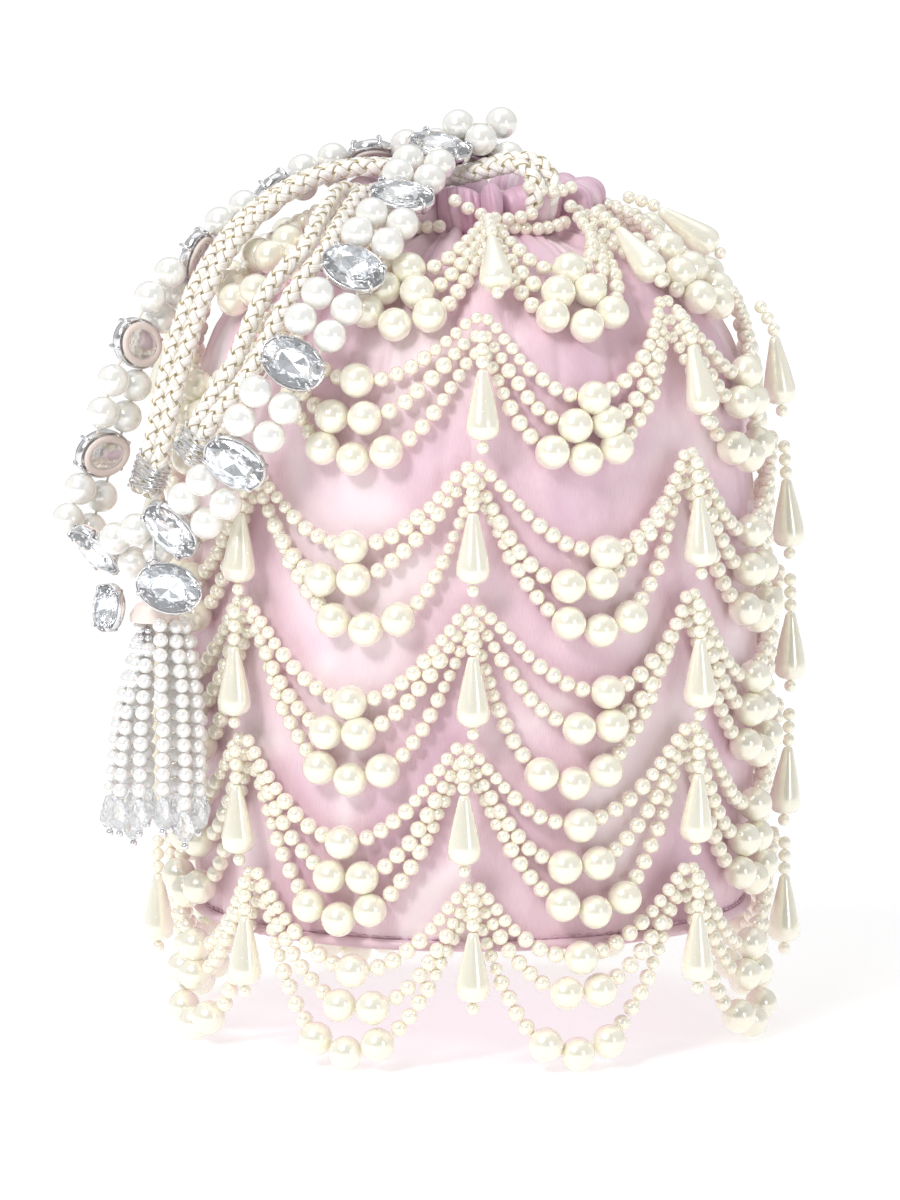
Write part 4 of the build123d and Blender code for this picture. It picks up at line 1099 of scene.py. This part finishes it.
for tier in range(1, 7):
    small, big, drops = [], [], []
    for j in range(N_SWAGS):
        for k in range(3):
            us, cs = big_pearls(tier, j, k)
            big += [(c, BIG_D * (0.985 + 0.02 * noise(tier, j, k + q))) for q, c in enumerate(cs)]
            for way, n in ((-1, 0), (1, -1)):
                small += string_beads(tier, j, k, way, us[n], cs[n])
        if (tier, j) in NO_DROP:
            continue
        chain, body, tail = drop_pieces(tier, j)
        parts = balls_part(chain + tail, 5) + [body]
        if tier == 6:
            V, F = joined(parts)
            ob = flip_out(make_mesh(f"fringe_drop_look_{j + 1}", V, F))
            put(ob, f"fringe_drop_{j + 1}_body", M_IVORY, "ivory_pearl", f"fringe_drop_{j + 1}")
        else:
            drops += parts
    put(balls(f"tier{tier}_small_pearls_look", small, 4 if tier == 1 else 5), "pouch", M_SEED, "seed_pearl", f"tier{tier}_strings")
    put(balls(f"tier{tier}_large_pearls_look", big, 10), "pouch", M_IVORY, "ivory_pearl", f"tier{tier}_large_pearls")
    if drops:
        V, F = joined(drops)
        put(flip_out(make_mesh(f"tier{tier}_drops_look", V, F)), "pouch", M_IVORY, "ivory_pearl", f"tier{tier}_drops")
    print("tier", tier, "small", len(small), "big", len(big))

# trim on the frill: pearls in short curls over the lobes
trim = []


def curl(a0, z0, a1, z1, n, sag, d=4.0, out=38.0):
    for i in range(n):
        t = i / (n - 1)
        a = math.radians(a0 + (a1 - a0) * t)
        z = z0 + (z1 - z0) * t - sag * math.sin(math.pi * t)
        R = out + 0.5 * noise(i, n, 3)
        trim.append(((R * math.sin(a), -R * math.cos(a), z + ZB), d))


for a0, z0, a1, z1, n, sag, out in (
        (-7, 210.5, 27, 206.5, 7, 3.0, 38.6), (27, 214.0, 52, 213.2, 5, 1.2, 36.5), (48, 208.0, 80, 205.5, 6, 2.0, 38.2),
        (-52, 204.0, -14, 203.0, 8, 1.0, 37.2), (14, 203.2, 46, 203.4, 7, 1.2, 37.8), (96, 208, 130, 206, 7, 2.0, 38.2),
        (150, 210, 186, 208, 7, 2.5, 38.4), (205, 208, 240, 209, 7, 2.0, 38.4), (250, 206, 280, 204, 6, 1.5, 38.0)):
    curl(a0, z0, a1, z1, n, sag, out=out)
put(balls("mouth_trim_pearls", trim, 5), "pouch", M_SEED, "seed_pearl", "mouth_pearl_trim")

# -------------------------------------------------------------- wrist loop
LOOP = [
    ((9.0, -3.0, 223.0), (0.75, -0.1, 0.65)),
    ((-9.0, -18.0, 224.5), (-0.05, -0.62, 0.78)),
    ((-23.6, -57.0, 207.0), (0.0, -0.72, 0.69)),
    ((-39.1, -78.0, 185.0), (0.05, -0.86, 0.50)),
    ((-55.2, -86.5, 160.0), (0.10, -0.95, 0.28)),
    ((-72.0, -76.5, 131.7), (-0.10, -0.97, 0.05)),
    ((-94.0, -54.0, 113.0), (-0.40, -0.80, -0.50)),
    ((-112.0, -36.0, 112.0), (-0.80, 0.10, -0.60)),
    ((-108.5, -31.0, 130.0), (-0.75, 0.65, -0.05)),
    ((-101.0, -33.0, 154.0), (-0.70, 0.68, 0.20)),
    ((-92.5, -28.0, 177.0), (-0.62, 0.66, 0.42)),
    ((-74.0, -8.0, 197.5), (-0.50, 0.60, 0.62)),
    ((-51.0, 11.0, 213.0), (-0.30, 0.50, 0.81)),
    ((-24.0, 13.0, 221.0), (0.0, 0.40, 0.92)),
]


def catmull(pts, per=60):
    out, n = [], len(pts)
    for i in range(n):
        p0, p1, p2, p3 = (pts[(i + q) % n] for q in (-1, 0, 1, 2))
        for s in range(per):
            t = s / per
            out.append(tuple(
                0.5 * (2 * b + (-a + c) * t + (2 * a - 5 * b + 4 * c - d) * t * t + (-a + 3 * b - 3 * c + d) * t ** 3)
                for a, b, c, d in zip(p0, p1, p2, p3)))
    return out


line = catmull([p for p, n in LOOP])
norm = catmull([n for p, n in LOOP])
acc = [0.0]
for i in range(len(line)):
    acc.append(acc[-1] + dist(line[i], line[(i + 1) % len(line)]))
LOOP_L = acc[-1]
pitch = LOOP_L / STRAP_N


def loop_frame(s):
    s %= LOOP_L
    i = max(q for q in range(len(line)) if acc[q] <= s)
    j = (i + 1) % len(line)
    t = (s - acc[i]) / (acc[i + 1] - acc[i])
    p = Vector([a + (b - a) * t for a, b in zip(line[i], line[j])])
    a, b = line[(i - 2) % len(line)], line[(j + 2) % len(line)]
    tan = (Vector(b) - Vector(a)).normalized()
    n = Vector([x + (y - x) * t for x, y in zip(norm[i], norm[j])])
    n = (n - tan * n.dot(tan)).normalized()
    return Vector((p.x, p.y, p.z + ZB)), tan, n, tan.cross(n)


S0 = acc[60]


def oval_ring(a, b, z, n, off=0.0):
    return [(a * math.cos(2 * math.pi * (i + off) / n), b * math.sin(2 * math.pi * (i + off) / n), z) for i in range(n)]


def stone_mesh(a, b):
    """Faceted oval stone: table, star and kite facets, girdle and pavilion."""
    n = 16
    rings = [oval_ring(a * 0.50, b * 0.50, 5.3, n // 2, 0.0), oval_ring(a * 0.76, b * 0.76, 4.75, n // 2, 0.5),
             oval_ring(a * 0.985, b * 0.985, 3.55, n, 0.0), oval_ring(a * 0.985, b * 0.985, 3.15, n, 0.0),
             oval_ring(a * 0.52, b * 0.52, 1.35, n // 2, 0.5), ]
    V = [p for r in rings for p in r] + [(0, 0, 0.55)]
    h = n // 2
    o0, o1, o2, o3, o4 = 0, h, 2 * h, 2 * h + n, 2 * h + 2 * n
    tip = len(V) - 1
    F = [list(range(h))]
    for i in range(h):
        j = (i + 1) % h
        F.append([o0 + i, o1 + i, o0 + j])                       # star
        # kite: table corner j, kite corners i and j, girdle corner
        F.append([o0 + j, o1 + i, o2 + (2 * j) % n])
        F.append([o0 + j, o2 + (2 * j) % n, o1 + j])
        F.append([o1 + i, o2 + (2 * i) % n, o2 + (2 * i + 1) % n])
        F.append([o1 + i, o2 + (2 * i + 1) % n, o2 + (2 * i + 2) % n])
    for i in range(n):
        j = (i + 1) % n
        F.append([o2 + i, o3 + i, o3 + j, o2 + j])
    for i in range(h):
        F.append([o3 + 2 * i, o4 + i, o3 + 2 * i + 1])
        F.append([o3 + 2 * i + 1, o4 + i, o3 + (2 * i + 2) % n])
        F.append([o3 + (2 * i + 2) % n, o4 + i, o4 + (i + 1) % h])
        F.append([o4 + i, tip, o4 + (i + 1) % h])
    return np.array(V, float), F


def band(a, b, z0, z1, thick, seg=40):
    """Elliptical band with rounded rims."""
    prof = [(0, z0), (thick * 0.5, z0 - 0.12), (thick, z0), (thick + 0.05, (z0 + z1) / 2), (thick, z1), (thick * 0.5, z1 + 0.12), (0, z1)]
    V, F, k = [], [], len(prof)
    for i in range(seg):
        g = 2 * math.pi * i / seg
        for o, z in prof:
            V.append(((a + o) * math.cos(g), (b + o) * math.sin(g), z))
    for i in range(seg):
        for m in range(k):
            q0, q1 = i * k + m, i * k + (m + 1) % k
            r0, r1 = ((i + 1) % seg) * k + m, ((i + 1) % seg) * k + (m + 1) % k
            F.append((q0, r0, r1, q1))
    return np.array(V, float), F


def claw(a, b, g):
    """A claw that comes up the side of the stone and bends over its edge."""
    pts = [(1.07, 0.4), (1.08, 2.4), (1.08, 3.7), (1.02, 4.35), (0.90, 4.62), (0.83, 4.72)]
    c, s = math.cos(g), math.sin(g)
    V, F, K = [], [], 8
    path = [Vector((a * k * c, b * k * s, z)) for k, z in pts]
    fr = frames_along(path)
    for m, (p, (t, n, bb)) in enumerate(zip(path, fr)):
        rad = (0.62, 0.62, 0.62, 0.60, 0.52, 0.30)[m]
        for q in range(K):
            ang = 2 * math.pi * q / K
            V.append(tuple(p + n * (rad * math.cos(ang)) + bb * (rad * math.sin(ang))))
    for m in range(len(path) - 1):
        for q in range(K):
            q0, q1 = m * K + q, m * K + (q + 1) % K
            F.append((q0, q1, q1 + K, q0 + K))
    F.append(tuple(reversed(range(K))))
    F.append(tuple((len(path) - 1) * K + q for q in range(K)))
    return np.array(V, float), F


def plate(a, b, z0, z1, seg=40):
    prof = [(0, z0), (0.96, z0), (1.0, z0 + 0.25), (1.0, z1 - 0.2), (0.97, z1), (0, z1)]
    V, F = revolve_pts([(r, z) for r, z in prof], seg)
    V[:, 0] *= a
    V[:, 1] *= b
    return V, F


def foil_mesh(a, b):
    """Bright faceted foil close under a stone's pavilion."""
    n, h = 16, 8
    rings = [oval_ring(a * 1.0, b * 1.0, 2.95, n, 0.0), oval_ring(a * 0.54, b * 0.54, 1.15, h, 0.5)]
    V = [p for r in rings for p in r] + [(0, 0, 0.38)]
    V += [(x, y, z - 0.12) for x, y, z in V]
    m = len(V) // 2
    F = []
    for i in range(h):
        F.append([2 * i, n + i, 2 * i + 1])
        F.append([2 * i + 1, n + i, (2 * i + 2) % n])
        F.append([(2 * i + 2) % n, n + i, n + (i + 1) % h])
        F.append([n + i, n + h, n + (i + 1) % h])
    F += [[v + m for v in reversed(f)] for f in F]
    for i in range(n):
        F.append([i, (i + 1) % n, m + (i + 1) % n, m + i])
    return np.array(V, float), F


stones, metals, backs, foils = [], [], [], []


def add_oval(p, n, across, scale=1.0):
    a, b = OVAL[0] / 2 * scale, OVAL[1] / 2 * scale
    x = across.normalized()
    y = n.cross(x)
    org = p - n * 2.0

    def into(part):
        v, f = part
        return place(v, org, x, y, n), f
    stones.append(into(stone_mesh(a, b)))
    metals.append(into(band(a + 0.12, b + 0.12, 0.5, 3.0, 0.5)))
    foils.append(into(foil_mesh(a, b)))
    metals.append(into(plate(a * 0.78, b * 0.74, -0.30, 0.05)))
    for g in (0.62, math.pi - 0.62, math.pi + 0.62, -0.62):
        metals.append(into(claw(a, b, g)))
    backs.append(into(band(a * 0.72, b * 0.66, -0.55, 0.20, 2.0 * scale)))


pearl_at = {}
for i in range(STRAP_N):
    s = S0 + i * pitch
    p, t, n, b = loop_frame(s)
    add_oval(p, n, b)
    for row in (-1, 1):
        for m in (-1, 1):
            q, t2, n2, b2 = loop_frame(s + pitch / 2 + m * (STRAP_PEARL_D / 2 + 0.02))
            pearl_at[(i, row, m)] = q + b2 * (row * (STRAP_PEARL_D / 2 + 0.05))
# short strings on the frill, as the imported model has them
def clear_of(p, route, gap):
    for a, b in zip(route, route[1:]):
        for q in range(11):
            c = tuple(u + (v - u) * q / 10 for u, v in zip(a, b))
            if dist(p, c) < gap:
                return False
    return True


# short pearl strings tacked to the frill's outside
TRIM = ((21.0, 7), (44.0, 5), (150.0, 7), (-140.0, 7), (90.0, 7))
cad_trim = []
for a_mid, n in TRIM:
    for i in range(n):
        a = math.radians(a_mid + (i - n / 2) * 7.6)
        r = 37.6 + 0.3 * math.sin(i * 1.7 + a_mid)
        z = 211.6 + 0.5 * math.cos(i * 2.1 + a_mid)
        p = (r * math.sin(a), -r * math.cos(a), z)
        if all(clear_of(p, q, 5.3) for q in (NECK_RUN_A, NECK_RUN_B, FRONT_RUN_A, FRONT_RUN_B)) \
                and all(dist(p, q) > 3.95 for q in cad_trim):
            cad_trim.append(p)


END_STONES = [((-85.6, -72.5, 103.0), (0.05, -0.93, 0.25), (0.93, 0.10, -0.35), 1.0),
              ((-103.5, -61.5, 96.0), (-0.62, -0.72, 0.05), (0.1, -0.1, 0.98), 0.72)]


def rim_points(p, n, across, scale):
    """Points on the outside of a stone's cup and crown."""
    a, b = OVAL[0] / 2 * scale + 0.5, OVAL[1] / 2 * scale + 0.5
    y = n.cross(across)
    out = []
    for q in range(28):
        g = 2 * math.pi * q / 28
        for z, k in ((-2.0, 1.0), (-0.2, 1.0), (1.6, 1.0), (2.6, 0.86), (3.6, 0.6)):
            c = p + across * (a * k * math.cos(g)) + y * (b * k * math.sin(g)) + n * z
            out.append((c.x, c.y, c.z))
    return out


def beads_on(route, step=1.2):
    out = []
    for a, b in zip(route, route[1:]):
        m = max(1, int(dist(a, b) / step))
        out += [tuple(u + (v - u) * q / m for u, v in zip(a, b)) for q in range(m)]
    return [(x, y, z + ZB) for x, y, z in out + [route[-1]]]


# what the loop's pearls keep clear of: (points, distance)
R_P = STRAP_PEARL_D / 2
blocks = []
for i in range(STRAP_N):
    p, t, n, b = loop_frame(S0 + i * pitch)
    blocks.append((rim_points(p, n, b, 1.0), R_P + 0.12))
for p, n, across, sc in END_STONES:
    n = Vector(n).normalized()
    x = Vector(across)
    x = (x - n * x.dot(n)).normalized()
    blocks.append((rim_points(Vector((p[0], p[1], p[2] + ZB)), n, x, sc), R_P + 0.12))
for route in (FRONT_A, FRONT_B, REAR_A, REAR_B):
    blocks.append((beads_on(route), R_P + CORD_D / 2 + 0.15))
for route in (NECK_RUN_A, NECK_RUN_B, FRONT_RUN_A, FRONT_RUN_B):
    blocks.append((beads_on(route), R_P + CORD_D / 2 + 0.6))
blocks.append(([(TASSEL_P[0], TASSEL_P[1], TASSEL_P[2] + ZB - 3.2)], R_P + 4.6))
blocks.append(([(x, y, z + ZB) for x, y, z in cad_trim], R_P + 2.5))
for tier in (1, 2):
    near = []
    for j in (0, 4, 5, 6, 7):
        for k in range(3):
            near += big_pearls(tier, j, k)[1]
    blocks.append((near, R_P + 5.6))


def eased(pts):
    """Loop pearls moved apart from each other and from what they lie by."""
    pts = {k: (v[0], v[1], v[2]) for k, v in pts.items()}
    keys = sorted(pts)

    def shove(p, q, gap):
        d = dist(p, q)
        f = (gap - d) / max(d, 1e-6)
        return tuple(u + (u - v) * f for u, v in zip(p, q))
    for turn in range(90):
        for ka in keys:
            for kb in keys:
                if ka < kb and dist(pts[ka], pts[kb]) < 2 * R_P + 0.04:
                    a, b = pts[ka], pts[kb]
                    gap = 2 * R_P + 0.06
                    mid = dist(a, b)
                    f = 0.5 * (gap - mid) / max(mid, 1e-6)
                    pts[ka] = tuple(u + (u - v) * f for u, v in zip(a, b))
                    pts[kb] = tuple(v + (v - u) * f for u, v in zip(a, b))
        for ka in keys:
            p = pts[ka]
            for cloud, gap in blocks:
                if dist(p, cloud[0]) > 90.0 or (len(cloud) == 140 and dist(p, cloud[0]) > 34.0):
                    continue
                q = min(cloud, key=lambda c: (c[0] - p[0]) ** 2 + (c[1] - p[1]) ** 2 + (c[2] - p[2]) ** 2)
                if dist(p, q) < gap:
                    p = shove(p, q, gap + 0.02)
            pts[ka] = p
    worst = min(dist(pts[a], pts[b]) - 2 * R_P for a in keys for b in keys if a < b)
    lows = [min(dist(pts[k], c) for c in cloud) - gap for cloud, gap in blocks for k in keys]
    print("loop pearls: least gap", round(worst, 3), "least clearance", round(min(lows), 3))
    return {k: Vector(v) for k, v in pts.items()}


pearl_at = eased({k: tuple(v) for k, v in pearl_at.items()})
put(balls("loop_pearls", [(tuple(c), STRAP_PEARL_D) for c in pearl_at.values()], 10), "wrist_loop", M_WHITE, "white_pearl", "strap_pearls")

for p, n, across, sc in END_STONES:
    n = Vector(n).normalized()
    x = Vector(across)
    x = (x - n * x.dot(n)).normalized()
    add_oval(Vector((p[0], p[1], p[2] + ZB)), n, x, sc)
V, F = joined(stones)
put(flip_out(make_mesh("oval_stones", V, F, smooth=False)), "wrist_loop", M_CRYSTAL, "crystal", "oval_crystals")
V, F = joined(metals)
put(flip_out(make_mesh("stone_claws", V, F)), "wrist_loop", M_SILVER, "silver", "stone_settings")
V, F = joined(foils)
put(flip_out(make_mesh("stone_foils", V, F, smooth=False)), "wrist_loop", M_FOIL, "silver")
V, F = joined(backs)
put(flip_out(make_mesh("stone_backs", V, F)), "wrist_loop", M_NUDE, "nude_leather")

# ------------------------------------------------------------------ tassel
tp = Vector((TASSEL_P[0], TASSEL_P[1], TASSEL_P[2] + ZB))
tb = tp - Vector((0, 0, 6.4))
cap_top = tb.z - 2.35
beads, gems, seeds = [], [], []
for i in range(TASSEL_N + 4):
    k = i % TASSEL_N
    if i < 4:
        a, r_t, r_b = 2 * math.pi * i / 4 + 0.4, 3.6, 5.4
    else:
        a, r_t, r_b = 2 * math.pi * (i - 4) / 12 + 0.2, 8.0, 10.6
    z_t = cap_top - 4.2 - 1.5 * abs(math.cos(a))
    if i >= 4 and math.cos(a) < -0.2:
        # the strands on the small end stone's side start lower and nearer, clear of it when the tassel swings
        r_t, z_t = 4.1, cap_top - 12.0
        for up_by in (1.1, 3.3):
            seeds.append(((tb.x + 4.1 * math.cos(a) * 1.15, tb.y + 4.1 * math.sin(a) * 0.9, z_t + up_by), 2.2))
    top = Vector((tb.x + r_t * math.cos(a) * 1.15, tb.y + r_t * math.sin(a) * 0.9, z_t))
    zb = ZB + 41.0 + 3.5 * noise(k, 3, 4)
    bot = Vector((tb.x + r_b * math.cos(a) * 1.25, tb.y + r_b * math.sin(a) * 0.95, zb))
    L = (bot - top).length
    n = int(L / 4.2)
    for q in range(n):
        t = (q + 0.5) / n
        c = top.lerp(bot, t)
        bow = 1.4 * math.sin(math.pi * t) ** 1.0
        out = Vector((math.cos(a), math.sin(a), 0))
        c += out * bow + Vector((0.25 * noise(i, q, 1), 0.25 * noise(i, q, 2), 0))
        beads.append((tuple(c), 4.3 * (1 + 0.03 * noise(i, q, 5))))
    # a faceted drop: rings of eight corners, each ring turned half a step
    rings = [(0.9, 0.0), (1.9, -1.6), (2.75, -4.3), (2.95, -6.1), (2.1, -7.9), (0.8, -8.8)]
    V, F, K = [], [], 8
    for m, (r, z) in enumerate(rings):
        for g in range(K):
            ang = 2 * math.pi * (g + 0.5 * (m % 2)) / K
            V.append((bot.x + r * math.cos(ang), bot.y + r * math.sin(ang), bot.z - 0.4 + z))
    for m in range(len(rings) - 1):
        for g in range(K):
            a0, a1 = m * K + g, m * K + (g + 1) % K
            b0, b1 = a0 + K, a1 + K
            if m % 2 == 0:
                F += [(a0, b0, a1), (a1, b0, b1)]
            else:
                F += [(a0, b0, b1), (a0, b1, a1)]
    F.append(tuple(range(K)))
    F.append(tuple((len(rings) - 1) * K + g for g in range(K)))
    gems.append((V, F))
    seeds.append(((bot.x, bot.y, bot.z - 10.3), 2.2))
put(balls("tassel_pearls", beads, 5), "tassel", M_TWHITE, "white_pearl", "tassel_strands")
V, F = joined(gems)
put(flip_out(make_mesh("tassel_drops", V, F, smooth=False)), "tassel", M_TCRYSTAL, "crystal", "tassel_crystal_drops")
put(balls("tassel_seeds", seeds, 5), "tassel", M_SILVER, "silver", "tassel_seed_beads")

# --------------------------------------------------------- floor and light
bpy.ops.mesh.primitive_plane_add(size=60, location=(0, 0, -0.0002))
floor = bpy.context.object
floor.name = "floor"
m, nt, b = mat("floor_white")
b.inputs["Base Color"].default_value = (0.62, 0.62, 0.625, 1)
b.inputs["Roughness"].default_value = 0.75
b.inputs["Specular IOR Level"].default_value = 0.2
b.inputs["Emission Color"].default_value = (1, 1, 1, 1)
b.inputs["Emission Strength"].default_value = 0.53
floor.data.materials.append(m)

world = bpy.data.worlds.new("world")
bpy.context.scene.world = world
world.use_nodes = True
wn = world.node_tree
bg = wn.nodes["Background"]
wtc = wn.nodes.new("ShaderNodeTexCoord")
wsep = wn.nodes.new("ShaderNodeSeparateXYZ")
wn.links.new(wtc.outputs["Generated"], wsep.inputs[0])
# the studio: pale all round, greyer on the side the photographer stands
wr = ramp(wn, [(0.0, (0.20, 0.205, 0.20)), (0.30, (0.52, 0.52, 0.52)), (0.62, (0.80, 0.80, 0.80))])
wmap = wn.nodes.new("ShaderNodeMapRange")
wmap.inputs["From Min"].default_value = -1.0
wmap.inputs["From Max"].default_value = 1.0
wn.links.new(wsep.outputs["Y"], wmap.inputs["Value"])
wn.links.new(wmap.outputs[0], wr.inputs[0])
wn.links.new(wr.outputs[0], bg.inputs[0])
bg.inputs[1].default_value = 0.80
white = wn.nodes.new("ShaderNodeBackground")
white.inputs[0].default_value = (1, 1, 1, 1)
white.inputs[1].default_value = 1.05
lp = wn.nodes.new("ShaderNodeLightPath")
mx = wn.nodes.new("ShaderNodeMixShader")
wn.links.new(lp.outputs["Is Camera Ray"], mx.inputs[0])
wn.links.new(bg.outputs[0], mx.inputs[1])
wn.links.new(white.outputs[0], mx.inputs[2])
wn.links.new(mx.outputs[0], wn.nodes["World Output"].inputs[0])


def area(name, loc, look, size, power, col=(1, 1, 1)):
    d = bpy.data.lights.new(name, "AREA")
    d.shape = "RECTANGLE"
    d.size, d.size_y = size
    d.energy = power
    d.color = col
    o = bpy.data.objects.new(name, d)
    bpy.context.scene.collection.objects.link(o)
    o.location = loc
    o.rotation_euler = (Vector(look) - Vector(loc)).to_track_quat("-Z", "Y").to_euler()
    return o


def sun(name, direction, strength, spread):
    d = bpy.data.lights.new(name, "SUN")
    d.energy = strength
    d.angle = math.radians(spread)
    o = bpy.data.objects.new(name, d)
    bpy.context.scene.collection.objects.link(o)
    o.location = (0, 0, 2)
    o.rotation_euler = Vector(direction).to_track_quat("-Z", "Y").to_euler()
    return o


sun("soft_key", (0.55, 0.75, -0.95), 0.85, 30)
sun("soft_top", (0.0, -0.1, -1.0), 0.45, 60)
area("key", (-0.62, -1.15, 0.95), (0, 0, 0.12), (0.26, 0.26), 6.5)
area("fill", (0.95, -1.2, 0.42), (0, 0, 0.12), (0.30, 0.55), 2.2)

scene = bpy.context.scene
scene.view_settings.view_transform = "Standard"
scene.view_settings.look = "None"
scene.view_settings.exposure = 0.0
